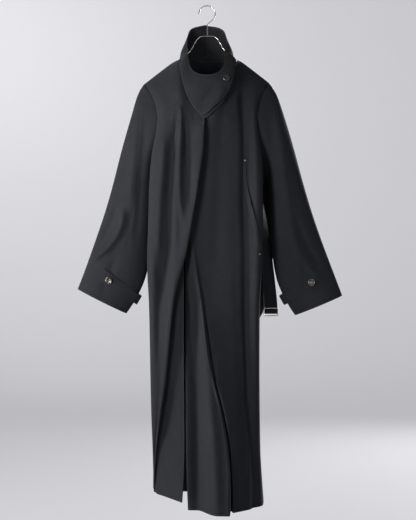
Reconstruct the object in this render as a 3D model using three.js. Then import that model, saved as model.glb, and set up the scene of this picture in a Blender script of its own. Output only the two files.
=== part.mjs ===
// A long wrap coat with a funnel collar, hanging on a thin wire hanger.
// Millimetres. +X is the wearer's left, +Y the back, +Z up. The origin is the inside top of the hanger's hook.
// Each cloth piece is a wall: a sheet of middle points, lofted between named lines and thickened to both sides.
import * as THREE from 'three';

// Driving sizes
const WALL = 2.2;
const SEAM = 1.3;
const HEM_Z = -1384;
const NECK_HALF = 74;
const NECK_Z = -139;
const SHOULDER_SLOPE = 0.77;
const NECK_SPREAD = 62;
const SHOULDER_SPREAD = 110;
const BELT_WIDTH = 36;
const BELT_THICKNESS = 3;
const BUCKLE = { width: 42, height: 24, wire: 1.5 };
const WIRE = 1.8;
const HOOK_RADIUS = 23.2;
const BUTTON = { radius: 10, height: 3.4 };

const CLOTH_COLOUR = 0x222327;
const METAL_COLOUR = 0xb9b3a8;
const BUTTON_COLOUR = 0x1a1719;

const coat = new THREE.Group();

// Value of one column of a table at a height, smooth between rows that run downwards
function valueAt(rows, key, z) {
  const last = rows.length - 1;
  if (z >= rows[0].z) return rows[0][key];
  if (z <= rows[last].z) return rows[last][key];
  let i = 0;
  while (rows[i + 1].z > z) i += 1;
  const [a, b] = [rows[i], rows[i + 1]];
  const before = rows[Math.max(i - 1, 0)];
  const after = rows[Math.min(i + 2, last)];
  const span = b.z - a.z;
  const slopeA = (b[key] - before[key]) / (b.z - before.z) * span;
  const slopeB = (after[key] - a[key]) / (after.z - a.z) * span;
  const t = (z - a.z) / span;
  const rest = 1 - t;
  return a[key] * (1 + 2 * t) * rest * rest + slopeA * t * rest * rest
    + b[key] * t * t * (3 - 2 * t) - slopeB * t * t * rest;
}

const lerp = THREE.MathUtils.lerp;
const smooth = THREE.MathUtils.smoothstep;
const point = (x, y, z) => new THREE.Vector3(x, y, z);

// Samples of a smooth curve through the points, with a chosen number of steps in each stretch
function throughPoints(points, steps) {
  const curve = new THREE.CatmullRomCurve3(points, false, 'centripetal');
  const stretches = points.length - 1;
  const samples = [curve.getPoint(0)];
  steps.forEach((count, i) => {
    for (let j = 1; j <= count; j += 1) samples.push(curve.getPoint((i + j / count) / stretches));
  });
  return samples;
}

// Outward normals of a grid of points, by the differences of its neighbours
function gridNormals(grid, closed) {
  const rows = grid.length;
  const columns = grid[0].length;
  return grid.map((row, r) => row.map((_, c) => {
    const left = closed ? (c + columns - 1) % columns : Math.max(c - 1, 0);
    const right = closed ? (c + 1) % columns : Math.min(c + 1, columns - 1);
    const across = row[right].clone().sub(row[left]);
    const down = grid[Math.min(r + 1, rows - 1)][c].clone().sub(grid[Math.max(r - 1, 0)][c]);
    return across.cross(down).normalize();
  }));
}

// A grid of middle points becomes a closed wall of cloth; closed joins its first and last column
function clothWall(grid, { thickness = WALL, closed = false } = {}) {
  const normals = gridNormals(grid, closed);
  const rows = grid.length;
  const columns = grid[0].length;
  const positions = [];
  for (const side of [0.5, -0.5]) {
    grid.forEach((row, r) => row.forEach((p, c) => {
      const q = p.clone().addScaledVector(normals[r][c], side * thickness);
      positions.push(q.x, q.y, q.z);
    }));
  }
  const outer = (r, c) => r * columns + (c % columns);
  const inner = (r, c) => rows * columns + outer(r, c);
  const index = [];
  const quad = (a, b, c, d) => index.push(a, b, c, a, c, d);
  const lastColumn = closed ? columns : columns - 1;
  for (let r = 0; r < rows - 1; r += 1) {
    for (let c = 0; c < lastColumn; c += 1) {
      quad(outer(r, c), outer(r, c + 1), outer(r + 1, c + 1), outer(r + 1, c));
      quad(inner(r, c), inner(r + 1, c), inner(r + 1, c + 1), inner(r, c + 1));
    }
  }
  for (let c = 0; c < lastColumn; c += 1) {
    quad(outer(0, c), inner(0, c), inner(0, c + 1), outer(0, c + 1));
    quad(outer(rows - 1, c), outer(rows - 1, c + 1), inner(rows - 1, c + 1), inner(rows - 1, c));
  }
  if (!closed) {
    for (let r = 0; r < rows - 1; r += 1) {
      quad(outer(r, 0), outer(r + 1, 0), inner(r + 1, 0), inner(r, 0));
      quad(outer(r, columns - 1), inner(r, columns - 1), inner(r + 1, columns - 1), outer(r + 1, columns - 1));
    }
  }
  const geometry = new THREE.BufferGeometry();
  geometry.setAttribute('position', new THREE.Float32BufferAttribute(positions, 3));
  geometry.setIndex(signedVolume(positions, index) < 0 ? index.reverse() : index);
  return geometry;
}

function signedVolume(positions, index) {
  const at = (i) => point(positions[3 * i], positions[3 * i + 1], positions[3 * i + 2]);
  let volume = 0;
  for (let i = 0; i < index.length; i += 3) {
    volume += at(index[i]).dot(at(index[i + 1]).cross(at(index[i + 2]))) / 6;
  }
  return volume;
}

const cloth = (name) => new THREE.MeshStandardMaterial({ name, color: CLOTH_COLOUR, roughness: 0.9, metalness: 0 });
const metal = (name) => new THREE.MeshStandardMaterial({ name, color: METAL_COLOUR, roughness: 0.3, metalness: 1 });
const horn = (name) => new THREE.MeshStandardMaterial({ name, color: BUTTON_COLOUR, roughness: 0.35, metalness: 0 });

function addPiece(name, geometry, material) {
  const mesh = new THREE.Mesh(geometry, material(name));
  mesh.name = name;
  coat.add(mesh);
  return mesh;
}

// Seam lines that the panels share
// The front neckline, from the side of the neck down to the point where the fronts cross
const NECKLINE = [
  { z: -139, x: 74.5, y: 0.6 },
  { z: -165, x: 71, y: 38 },
  { z: -200, x: 63, y: 62 },
  { z: -246, x: 48, y: 84 },
  { z: -292, x: 24, y: 98 },
  { z: -322, x: 8, y: 105 },
];
// The side lines: the armhole down to the underarm, then the side seam down to the hem
const RIGHT_SIDE = [
  { z: -219, x: -179, y: -1.3 },
  { z: -250, x: -160, y: -32 },
  { z: -290, x: -140, y: -50 },
  { z: -330, x: -136, y: -58 },
  { z: -370, x: -138, y: -57 },
  { z: -415, x: -139, y: -38 },
  { z: -450, x: -134, y: -0.6 },
  { z: -500, x: -128, y: -0.6 },
  { z: -600, x: -126, y: -0.6 },
  { z: -700, x: -131, y: -0.6 },
  { z: -770, x: -147, y: -0.6 },
  { z: -850, x: -156, y: -0.6 },
  { z: -1000, x: -156, y: 8 },
  { z: -1150, x: -151, y: 40 },
  { z: -1250, x: -149, y: 78 },
  { z: HEM_Z, x: -152, y: 116 },
];
const LEFT_SIDE = [
  { z: -214, x: 172, y: -1.3 },
  { z: -250, x: 154, y: -32 },
  { z: -290, x: 136, y: -50 },
  { z: -330, x: 133, y: -57 },
  { z: -370, x: 136, y: -56 },
  { z: -410, x: 138, y: -38 },
  { z: -445, x: 134, y: -0.6 },
  { z: -500, x: 128, y: -0.6 },
  { z: -600, x: 127, y: -0.6 },
  { z: -700, x: 131, y: -0.6 },
  { z: -760, x: 138, y: -0.6 },
  { z: -850, x: 141, y: -2 },
  { z: -1000, x: 141, y: -6 },
  { z: -1150, x: 142, y: -10 },
  { z: -1265, x: 146, y: -20 },
  { z: HEM_Z, x: 154, y: -36 },
];

const shoulderZ = (x) => NECK_Z - SHOULDER_SLOPE * (Math.abs(x) - NECK_HALF);

// The top edge of a front at a distance from the middle: the shoulder seam outside the neck, the neckline inside
function frontTop(x) {
  const away = Math.abs(x);
  if (away >= NECK_HALF) return { y: -SEAM, z: shoulderZ(away) };
  let i = 0;
  while (i < NECKLINE.length - 2 && NECKLINE[i + 1].x > away) i += 1;
  const [a, b] = [NECKLINE[i], NECKLINE[i + 1]];
  const t = THREE.MathUtils.clamp((away - a.x) / (b.x - a.x), 0, 1);
  return { y: -lerp(a.y, b.y, t), z: lerp(a.z, b.z, t) };
}

function backTop(x) {
  const away = Math.abs(x);
  if (away >= NECK_HALF) return { y: SEAM, z: shoulderZ(away) };
  return { y: SEAM + 60 * Math.sqrt(1 - (away / NECK_HALF) ** 2), z: NECK_Z };
}

// How far a panel has opened out, at a drop below its top edge: quickly by the collar, slowly over the sleeve
function opening(x, drop) {
  const outward = THREE.MathUtils.clamp((Math.abs(x) - NECK_HALF) / (179 - NECK_HALF), 0, 1);
  return 1 - Math.exp(-drop / lerp(NECK_SPREAD, SHOULDER_SPREAD, outward));
}

// Folds: each follows a line of places (z, x) down its panel, stands out by rise and has a half width
function foldRise(folds, x, z) {
  let rise = 0;
  for (const fold of folds) {
    const top = fold.line[0].z;
    const bottom = fold.line[fold.line.length - 1].z;
    const fade = smooth(-z, -top - 10, -top + fold.fade) * (1 - smooth(-z, -bottom - fold.fade, -bottom + 10));
    const off = (x - valueAt(fold.line, 'x', z)) / fold.half;
    rise += fold.rise * fade * Math.exp(-off * off);
  }
  return rise;
}

const RIGHT_FOLDS = [
  { rise: 4, half: 10, fade: 60, line: [{ z: -340, x: -126 }, { z: -494, x: -140 }, { z: -820, x: -150 }] },
  { rise: -8, half: 10, fade: 60, line: [{ z: -240, x: -92 }, { z: -494, x: -107 }, { z: -656, x: -125 },
    { z: -1000, x: -134 }] },
  { rise: 6, half: 10, fade: 80, line: [{ z: -240, x: -76 }, { z: -494, x: -88 }, { z: -818, x: -94 },
    { z: -1000, x: -108 }] },
  { rise: -7, half: 11, fade: 60, line: [{ z: -300, x: -66 }, { z: -494, x: -62 }, { z: -640, x: -60 }] },
];
const LEFT_FOLDS = [
  { rise: -10, half: 11, fade: 70, line: [{ z: -260, x: 90 }, { z: -820, x: 93 }, { z: -1180, x: 101 },
    { z: -1390, x: 104 }] },
  { rise: 6, half: 12, fade: 70, line: [{ z: -300, x: 105 }, { z: -494, x: 116 }, { z: -820, x: 123 },
    { z: -1300, x: 128 }] },
  { rise: 5, half: 14, fade: 90, line: [{ z: -700, x: -32 }, { z: -942, x: -20 }, { z: -1142, x: 6 },
    { z: -1450, x: 16 }] },
];
const BACK_FOLDS = [
  { rise: 9, half: 20, fade: 160, line: [{ z: -300, x: -88 }, { z: -800, x: -98 }, { z: -1450, x: -104 }] },
  { rise: -8, half: 18, fade: 160, line: [{ z: -340, x: -52 }, { z: -900, x: -60 }, { z: -1450, x: -64 }] },
  { rise: 10, half: 22, fade: 200, line: [{ z: -420, x: -12 }, { z: -900, x: -10 }, { z: -1450, x: -18 }] },
  { rise: -9, half: 18, fade: 160, line: [{ z: -340, x: 44 }, { z: -900, x: 50 }, { z: -1450, x: 56 }] },
  { rise: 8, half: 20, fade: 160, line: [{ z: -300, x: 86 }, { z: -800, x: 92 }, { z: -1450, x: 98 }] },
];

// The right front's sections: the front corner, the face, the rolled edge, the inner fold and the free edge
const RIGHT_FRONT = [
  { z: -139, cornerX: -179, cornerY: -70, faceY: -112, rollX: -8, rollY: -114, tuckX: -84, tuckY: -103, freeX: -64, freeY: -97 },
  { z: -222, cornerX: -172, cornerY: -76, faceY: -112, rollX: -8, rollY: -114, tuckX: -84, tuckY: -103, freeX: -64, freeY: -97 },
  { z: -290, cornerX: -137, cornerY: -82, faceY: -112, rollX: -8, rollY: -115, tuckX: -84, tuckY: -103, freeX: -64, freeY: -97 },
  { z: -338, cornerX: -136, cornerY: -84, faceY: -112, rollX: -8, rollY: -116, tuckX: -84, tuckY: -103, freeX: -64, freeY: -97 },
  { z: -419, cornerX: -152, cornerY: -86, faceY: -113, rollX: -12, rollY: -119, tuckX: -86, tuckY: -103, freeX: -64, freeY: -97 },
  { z: -494, cornerX: -159, cornerY: -88, faceY: -113, rollX: -23, rollY: -121, tuckX: -88, tuckY: -104, freeX: -64, freeY: -97 },
  { z: -624, cornerX: -162, cornerY: -88, faceY: -114, rollX: -44, rollY: -122, tuckX: -94, tuckY: -106, freeX: -64, freeY: -98 },
  { z: -707, cornerX: -165, cornerY: -88, faceY: -115, rollX: -60, rollY: -122, tuckX: -102, tuckY: -108, freeX: -64, freeY: -102 },
  { z: -769, cornerX: -163, cornerY: -86, faceY: -114, rollX: -80, rollY: -120, tuckX: -114, tuckY: -105, freeX: -64, freeY: -102 },
  { z: -818, cornerX: -159, cornerY: -82, faceY: -111, rollX: -90, rollY: -117, tuckX: -124, tuckY: -101, freeX: -64, freeY: -100 },
  { z: -926, cornerX: -157, cornerY: -74, faceY: -101, rollX: -102, rollY: -107, tuckX: -134, tuckY: -91, freeX: -64, freeY: -99 },
  { z: -1034, cornerX: -156, cornerY: -58, faceY: -86, rollX: -112, rollY: -91, tuckX: -140, tuckY: -73, freeX: -64, freeY: -92 },
  { z: -1142, cornerX: -155, cornerY: -28, faceY: -57, rollX: -129, rollY: -62, tuckX: -146, tuckY: -43, freeX: -63, freeY: -78 },
  { z: -1241, cornerX: -153, cornerY: 18, faceY: -10, rollX: -143, rollY: -14, tuckX: -150, tuckY: 3, freeX: -63, freeY: -58 },
  { z: -1325, cornerX: -154, cornerY: 74, faceY: 62, rollX: -152, rollY: 57, tuckX: -151, tuckY: 66, freeX: -66, freeY: -38 },
  { z: HEM_Z, cornerX: -155, cornerY: 108, faceY: 103, rollX: -154, rollY: 99, tuckX: -152, tuckY: 96, freeX: -71, freeY: -24 },
];
// The left front's sections: the front corner, the face, the long drape fold's crest and the free edge
const LEFT_FRONT = [
  { z: -137, cornerX: 172, cornerY: -70, faceY: -96, crestX: -50, crestRise: 0, freeX: -60, freeY: -86 },
  { z: -250, cornerX: 155, cornerY: -78, faceY: -96, crestX: -50, crestRise: 0, freeX: -60, freeY: -86 },
  { z: -290, cornerX: 133, cornerY: -80, faceY: -96, crestX: -50, crestRise: 0, freeX: -60, freeY: -86 },
  { z: -370, cornerX: 138, cornerY: -80, faceY: -96, crestX: -50, crestRise: 0, freeX: -60, freeY: -86 },
  { z: -430, cornerX: 149, cornerY: -80, faceY: -96, crestX: -50, crestRise: 0, freeX: -60, freeY: -86 },
  { z: -550, cornerX: 151, cornerY: -82, faceY: -97, crestX: -50, crestRise: 0, freeX: -60, freeY: -86 },
  { z: -625, cornerX: 152, cornerY: -82, faceY: -97, crestX: -44, crestRise: 2, freeX: -60, freeY: -86 },
  { z: -707, cornerX: 150, cornerY: -80, faceY: -98, crestX: -34, crestRise: 9, freeX: -60, freeY: -86 },
  { z: -829, cornerX: 142, cornerY: -74, faceY: -98, crestX: -16, crestRise: 18, freeX: -59, freeY: -86 },
  { z: -942, cornerX: 141, cornerY: -72, faceY: -98, crestX: -2, crestRise: 28, freeX: -59, freeY: -88 },
  { z: -1052, cornerX: 141, cornerY: -70, faceY: -98, crestX: 17, crestRise: 43, freeX: -59, freeY: -94 },
  { z: -1116, cornerX: 142, cornerY: -68, faceY: -98, crestX: 36, crestRise: 56, freeX: -58, freeY: -98 },
  { z: -1207, cornerX: 143, cornerY: -66, faceY: -97, crestX: 52, crestRise: 74, freeX: -58, freeY: -104 },
  { z: -1298, cornerX: 146, cornerY: -63, faceY: -96, crestX: 58, crestRise: 90, freeX: -56, freeY: -110 },
  { z: HEM_Z, cornerX: 151, cornerY: -60, faceY: -95, crestX: 57, crestRise: 104, freeX: -52, freeY: -115 },
];
const BACK = [
  { z: -139, faceY: 92, inset: 30 },
  { z: -400, faceY: 96, inset: 32 },
  { z: -700, faceY: 104, inset: 30 },
  { z: -1000, faceY: 116, inset: 26 },
  { z: HEM_Z, faceY: 122, inset: 20 },
];

const RIGHT_STEPS = [1, 2, 2, 3, 4, 3, 2, 2, 2, 2, 2, 2];
const ROLL_COLUMN = 15;
function rightSection(z) {
  const at = (key) => valueAt(RIGHT_FRONT, key, z);
  const [sx, sy] = [valueAt(RIGHT_SIDE, 'x', z), valueAt(RIGHT_SIDE, 'y', z)];
  const [cx, cy, face] = [at('cornerX'), at('cornerY'), at('faceY')];
  const [rx, ry, tx, ty, fx, fy] = ['rollX', 'rollY', 'tuckX', 'tuckY', 'freeX', 'freeY'].map(at);
  const width = rx - cx;
  return throughPoints([
    point(sx, sy, z),
    point(lerp(sx, cx, 0.6), lerp(sy, cy, 0.5), z),
    point(cx, cy, z),
    point(cx + width * 0.12, lerp(cy, face, 0.85), z),
    point(cx + width * 0.38, face, z),
    point(cx + width * 0.7, face, z),
    point(rx - Math.min(10, width * 0.1), lerp(face, ry, 0.75), z),
    point(rx, ry + 3, z),
    point(rx - 4, ry + 9, z),
    point(lerp(rx, tx, 0.6), lerp(ry + 11, ty, 0.6), z),
    point(tx, ty + 3, z),
    point(lerp(tx, fx, 0.35), lerp(ty + 8, fy, 0.35), z),
    point(fx, fy, z),
  ], RIGHT_STEPS);
}

const LEFT_STEPS = [1, 2, 2, 4, 3, 2, 1, 2, 2, 2, 2, 2];
function leftSection(z) {
  const at = (key) => valueAt(LEFT_FRONT, key, z);
  const [sx, sy] = [valueAt(LEFT_SIDE, 'x', z), valueAt(LEFT_SIDE, 'y', z)];
  const [cx, cy, face] = [at('cornerX'), at('cornerY'), at('faceY')];
  const [kx, rise, fx, fy] = ['crestX', 'crestRise', 'freeX', 'freeY'].map(at);
  const open = smooth(-z, 600, 800);
  const gap = lerp(12, 7, open);
  const crestY = face - rise;
  const lip = Math.min(rise * 0.3, 9);
  return throughPoints([
    point(sx, sy, z),
    point(lerp(sx, cx, 0.6), lerp(sy, cy, 0.5), z),
    point(cx, cy, z),
    point(cx - 14, lerp(cy, face, 0.6), z),
    point(lerp(cx - 14, kx + gap, 0.45), face + 1, z),
    point(kx + gap + 20, face, z),
    point(kx + gap, face - rise * 0.12, z),
    point(kx + gap * 0.35, lerp(face, crestY, 0.55), z),
    point(kx, crestY, z),
    point(kx - 7, crestY + lip * 0.2, z),
    point(lerp(kx, fx, 0.4), lerp(crestY, fy, 0.3), z),
    point(lerp(kx, fx, 0.7), lerp(crestY, fy, 0.72), z),
    point(fx, fy, z),
  ], LEFT_STEPS);
}

const BACK_STEPS = [1, 2, 1, 3, 3, 3, 3, 1, 2, 1];
function backSection(z) {
  const face = valueAt(BACK, 'faceY', z);
  const inset = valueAt(BACK, 'inset', z);
  const ends = [RIGHT_SIDE, LEFT_SIDE].map((rows) => ({
    x: valueAt(rows, 'x', z),
    y: z > -445 ? Math.abs(valueAt(rows, 'y', z)) : valueAt(rows, 'y', z) + 1.4,
  }));
  const [right, left] = ends;
  const points = [];
  for (const [end, other] of [[right, left], [left, right]]) {
    const out = Math.sign(end.x);
    const bulge = 10 * smooth(-z, 500, 900);
    const half = [
      point(end.x, end.y, z),
      point(end.x + out * bulge * 0.4, lerp(end.y, face, 0.45), z),
      point(end.x - out * (inset * 0.25 - bulge * 0.3), lerp(end.y, face, 0.82), z),
      point(end.x - out * inset * 1.1, face - 2, z),
      point(lerp(end.x, other.x, 0.33), face, z),
    ];
    points.push(...(end === right ? half : half.reverse()));
  }
  points.splice(5, 0, point((right.x + left.x) / 2, face, z));
  return throughPoints(points, BACK_STEPS);
}

// Heights of the rows, closer together near the shoulder
const ROWS = 21;
const rowFraction = (r) => {
  const t = r / ROWS;
  return 0.55 * t + 0.45 * t * t;
};

// A panel's grid: each column is followed from its top edge to the hem
function panelGrid(section, topEdge, folds, outward, hiddenFrom = Infinity, hiddenTop = 0) {
  const columns = section(HEM_Z).length;
  const tops = [];
  for (let c = 0; c < columns; c += 1) {
    let z = -260;
    for (let pass = 0; pass < 40; pass += 1) {
      z = lerp(z, topEdge(section(z)[c].x).z, 0.5);
    }
    tops.push(c > hiddenFrom ? hiddenTop : z);
  }
  return Array.from({ length: ROWS + 1 }, (_, r) => tops.map((top, c) => {
    const z = lerp(top, HEM_Z, rowFraction(r));
    const p = section(z)[c];
    if (c <= hiddenFrom) {
      const edge = topEdge(p.x);
      const open = opening(p.x, Math.max(edge.z - z, 0));
      const settled = lerp(edge.y, p.y, open);
      const nearSide = Math.abs(p.x - section(z)[0].x) + Math.abs(p.y - section(z)[0].y);
      p.y = lerp(p.y, settled, c === 0 ? 0 : smooth(nearSide, 0, 26) * smooth(z, -900, -500));
      if (c > 2) p.y += outward * foldRise(folds, p.x, z) * open;
    }
    return p;
  }));
}

const rightGrid = panelGrid(rightSection, frontTop, RIGHT_FOLDS, -1, ROLL_COLUMN + 2, -336);
const backGrid = panelGrid(backSection, backTop, BACK_FOLDS, 1);

// The left front's top edge: the neckline goes on level behind the right front
function leftTop(x) {
  if (x > 8) return frontTop(x);
  return { y: -96, z: -322 };
}
const leftGrid = panelGrid(leftSection, leftTop, LEFT_FOLDS, -1);

addPiece('back_panel', clothWall(backGrid), cloth);
addPiece('right_front', clothWall(rightGrid), cloth);
addPiece('left_front', clothWall(leftGrid), cloth);

// Sleeves: rings between the outer and the inner edge, seen from the front, with a half depth
const RIGHT_SLEEVE = [
  { outX: -183, outZ: -224, inX: -138, inZ: -452, depth: 58 },
  { outX: -197, outZ: -252, inX: -150, inZ: -482, depth: 58 },
  { outX: -212, outZ: -307, inX: -154, inZ: -530, depth: 57 },
  { outX: -237, outZ: -391, inX: -156, inZ: -596, depth: 54 },
  { outX: -259, outZ: -480, inX: -160, inZ: -664, depth: 50 },
  { outX: -284, outZ: -570, inX: -166, inZ: -730, depth: 45 },
  { outX: -315, outZ: -660, inX: -181, inZ: -782, depth: 40 },
  { outX: -345, outZ: -745, inX: -208, inZ: -832, depth: 36 },
  { outX: -363, outZ: -791, inX: -227, inZ: -859, depth: 35 },
];
const LEFT_SLEEVE = [
  { outX: 176, outZ: -217, inX: 138, inZ: -446, depth: 58 },
  { outX: 193, outZ: -245, inX: 163, inZ: -464, depth: 58 },
  { outX: 212, outZ: -302, inX: 173, inZ: -508, depth: 57 },
  { outX: 238, outZ: -386, inX: 175, inZ: -575, depth: 54 },
  { outX: 262, outZ: -476, inX: 178, inZ: -648, depth: 50 },
  { outX: 290, outZ: -572, inX: 185, inZ: -722, depth: 45 },
  { outX: 322, outZ: -664, inX: 198, inZ: -780, depth: 40 },
  { outX: 357, outZ: -756, inX: 225, inZ: -834, depth: 36 },
  { outX: 377, outZ: -809, inX: 245, inZ: -864, depth: 35 },
];
const SLEEVE_AROUND = 24;
const SLEEVE_STEP = 1.5;
const SLEEVE_GAP = 3.5;

// The armhole as a loop: over the shoulder, down the front, under the arm and up the back
function armhole(side, angle, offset) {
  const top = side[0].z;
  const underarm = side === RIGHT_SIDE ? -450 : -445;
  const z = lerp(top, underarm, (1 - Math.cos(angle)) / 2);
  const x = valueAt(side, 'x', z);
  const y = valueAt(side, 'y', z);
  return point(x + Math.sign(x) * offset, angle <= Math.PI ? y : -y, z - offset * 0.3);
}

function sleeveRing(table, t, angle) {
  const place = t * (table.length - 1);
  const i = Math.min(Math.floor(place), table.length - 2);
  const rows = table.map((row, k) => ({ ...row, z: -k }));
  const at = (key) => valueAt(rows, key, -(i + (place - i)));
  const centre = point((at('outX') + at('inX')) / 2, 0, (at('outZ') + at('inZ')) / 2);
  const half = point((at('outX') - at('inX')) / 2, 0, (at('outZ') - at('inZ')) / 2);
  centre.addScaledVector(half, Math.cos(angle));
  centre.y = -at('depth') * Math.sin(angle);
  return centre;
}

function sleeveAt(table, side, t, angle) {
  const ring = sleeveRing(table, t, angle);
  const start = armhole(side, angle, SLEEVE_GAP);
  const held = 1 - smooth(t, 0, 0.3);
  return ring.add(start.sub(sleeveRing(table, 0, angle)).multiplyScalar(held));
}

function sleeveGrid(table, side) {
  const rings = (table.length - 1) * SLEEVE_STEP;
  return Array.from({ length: rings + 1 }, (_, r) => Array.from({ length: SLEEVE_AROUND }, (__, c) => (
    sleeveAt(table, side, r / rings, 2 * Math.PI * c / SLEEVE_AROUND))));
}

addPiece('right_sleeve', clothWall(sleeveGrid(RIGHT_SLEEVE, RIGHT_SIDE), { closed: true }), cloth);
addPiece('left_sleeve', clothWall(sleeveGrid(LEFT_SLEEVE, LEFT_SIDE), { closed: true }), cloth);

// The funnel collar: stations from the middle of the back, round the wearer's right, the front tip and the left
const COLLAR = [
  { lowX: 0, lowY: 63, lowZ: -137.7, rimX: -2, rimY: 62, rimZ: -38 },
  { lowX: -42, lowY: 52, lowZ: -137.5, rimX: -44, rimY: 48, rimZ: -51 },
  { lowX: -69, lowY: 24, lowZ: -135, rimX: -55, rimY: 16, rimZ: -80 },
  { lowX: -78, lowY: -6, lowZ: -137, rimX: -56, rimY: -18, rimZ: -110 },
  { lowX: -77, lowY: -48, lowZ: -165, rimX: -55, rimY: -44, rimZ: -140 },
  { lowX: -73, lowY: -80, lowZ: -200, rimX: -50, rimY: -68, rimZ: -171 },
  { lowX: -61, lowY: -100, lowZ: -250, rimX: -41, rimY: -84, rimZ: -193 },
  { lowX: -41, lowY: -113, lowZ: -293, rimX: -24, rimY: -95, rimZ: -205 },
  { lowX: -13, lowY: -122, lowZ: -321, rimX: -8, rimY: -98, rimZ: -208 },
  { lowX: 18, lowY: -121, lowZ: -297, rimX: 15, rimY: -97, rimZ: -206 },
  { lowX: 47, lowY: -112, lowZ: -269, rimX: 36, rimY: -89, rimZ: -195 },
  { lowX: 68, lowY: -94, lowZ: -225, rimX: 48, rimY: -73, rimZ: -174 },
  { lowX: 76, lowY: -60, lowZ: -176, rimX: 53, rimY: -51, rimZ: -149 },
  { lowX: 77, lowY: -20, lowZ: -142, rimX: 53, rimY: -28, rimZ: -122 },
  { lowX: 69, lowY: 24, lowZ: -135, rimX: 52, rimY: 10, rimZ: -86 },
  { lowX: 42, lowY: 52, lowZ: -137.5, rimX: 41, rimY: 45, rimZ: -54 },
  { lowX: 0, lowY: 63, lowZ: -137.7, rimX: -2, rimY: 62, rimZ: -38 },
].map((row, k) => ({ ...row, z: -k }));
const COLLAR_BULGE = 3.5;
const FLAP_END = 12.5;

// A point of the collar: along counts the stations, drop goes from the rim to the lower edge
function collarAt(along, drop, inward) {
  const at = (key) => valueAt(COLLAR, key, -along);
  const low = point(at('lowX'), at('lowY'), at('lowZ'));
  const rim = point(at('rimX'), at('rimY'), at('rimZ'));
  const out = point(low.x, low.y + 5, 0).normalize();
  return rim.lerp(low, drop).addScaledVector(out, COLLAR_BULGE * 4 * drop * (1 - drop) - inward);
}

function collarGrid(from, to, columns, drops, inwardAt, extraDrop) {
  return Array.from({ length: drops + 1 }, (_, r) => Array.from({ length: columns + 1 }, (__, c) => {
    const along = lerp(from, to, c / columns);
    return collarAt(along, r / drops * (1 + extraDrop(along)), inwardAt(along));
  }));
}

const under = (along) => 6.4 * (1 - smooth(along, FLAP_END, FLAP_END + 1.2));
const longer = (along) => 0.13 * smooth(along, 7, 9) * (1 - smooth(along, 10.6, 12));
addPiece('collar_right', clothWall(collarGrid(0.03, FLAP_END, 34, 5, () => 0, () => 0)), cloth);
addPiece('collar_left', clothWall(collarGrid(15.97, 7.4, 24, 5, under, longer)), cloth);

// What lies on a panel is made from the panel's own points, moved out
function gridPoint(grid, row, column) {
  const rows = grid.length - 1;
  const columns = grid[0].length - 1;
  const r = Math.min(Math.floor(row), rows - 1);
  const c = Math.min(Math.floor(column), columns - 1);
  const top = grid[r][c].clone().lerp(grid[r][c + 1], column - c);
  return top.lerp(grid[r + 1][c].clone().lerp(grid[r + 1][c + 1], column - c), row - r);
}

// The row, with its fraction, at which a column of a grid passes a height
function rowAt(grid, column, z) {
  const r = Math.max(grid.findIndex((_, i) => gridPoint(grid, i, column).z < z), 1);
  const [above, below] = [gridPoint(grid, r - 1, column).z, gridPoint(grid, r, column).z];
  return r - 1 + (above - z) / (above - below);
}

// The point of a front that the viewer sees at a given x and z, moved out along the panel's normal
function placeOn(grid, x, z, firstColumn, lastColumn, out) {
  let best = { miss: Infinity };
  for (let c = firstColumn; c <= lastColumn; c += 0.05) {
    const r = rowAt(grid, c, z);
    const p = gridPoint(grid, r, c);
    const miss = Math.abs(p.x - x);
    if (miss < best.miss) best = { miss, p, r, c };
  }
  const { p, r, c } = best;
  const across = gridPoint(grid, r, c + 0.5).sub(gridPoint(grid, r, c - 0.5));
  const down = gridPoint(grid, r + 0.5, c).sub(gridPoint(grid, r - 0.5, c));
  const normal = across.cross(down).normalize();
  if (normal.y > 0) normal.negate();
  return { place: p.addScaledVector(normal, out), normal };
}

// The slanted pocket on the wearer's left front: a narrow welt along its opening and a metal tack at each end
const POCKET = [
  { x: 101, z: -452 },
  { x: 101, z: -478 },
  { x: 107, z: -520 },
  { x: 116, z: -566 },
  { x: 127, z: -612 },
  { x: 137, z: -660 },
  { x: 140, z: -682 },
];
const WELT_WIDTH = 9;
const WELT_THICKNESS = 1.6;
const TACK = { radius: 2.6, height: 1.6, drop: 12 };
const pocketLine = throughPoints(POCKET.map(({ x, z }) => point(x, 0, z)), [2, 2, 2, 2, 2, 2]);
const weltRows = pocketLine.map(({ x, z }) => [-0.5, 0, 0.5].map((side) => (
  placeOn(leftGrid, x + side * WELT_WIDTH, z, 4, 12, WALL / 2 + WELT_THICKNESS / 2 + 2).place)));
addPiece('left_pocket_welt', clothWall(weltRows, { thickness: WELT_THICKNESS }), cloth);

function addDisc(name, centre, direction, radius, height, material, segments = 18) {
  const edge = height * 0.28;
  const profile = [[0, 0], [radius, 0], [radius, height - edge], [radius - edge, height],
    [radius * 0.7, height], [radius * 0.6, height * 0.72], [0, height * 0.72]];
  const disc = new THREE.LatheGeometry(profile.map(([r, h]) => new THREE.Vector2(r, h)), segments);
  const mesh = addPiece(name, disc, material);
  mesh.quaternion.setFromUnitVectors(point(0, 1, 0), direction.clone().normalize());
  mesh.position.copy(centre);
  return mesh;
}

[['top', POCKET[0], 1], ['bottom', POCKET[POCKET.length - 1], -1]].forEach(([end, { x, z }, up]) => {
  const { place, normal } = placeOn(leftGrid, x, z + up * TACK.drop, 4, 12, WALL / 2 + 0.9);
  addDisc(`left_pocket_tack_${end}`, place, normal, TACK.radius, TACK.height, metal, 10);
});

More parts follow.
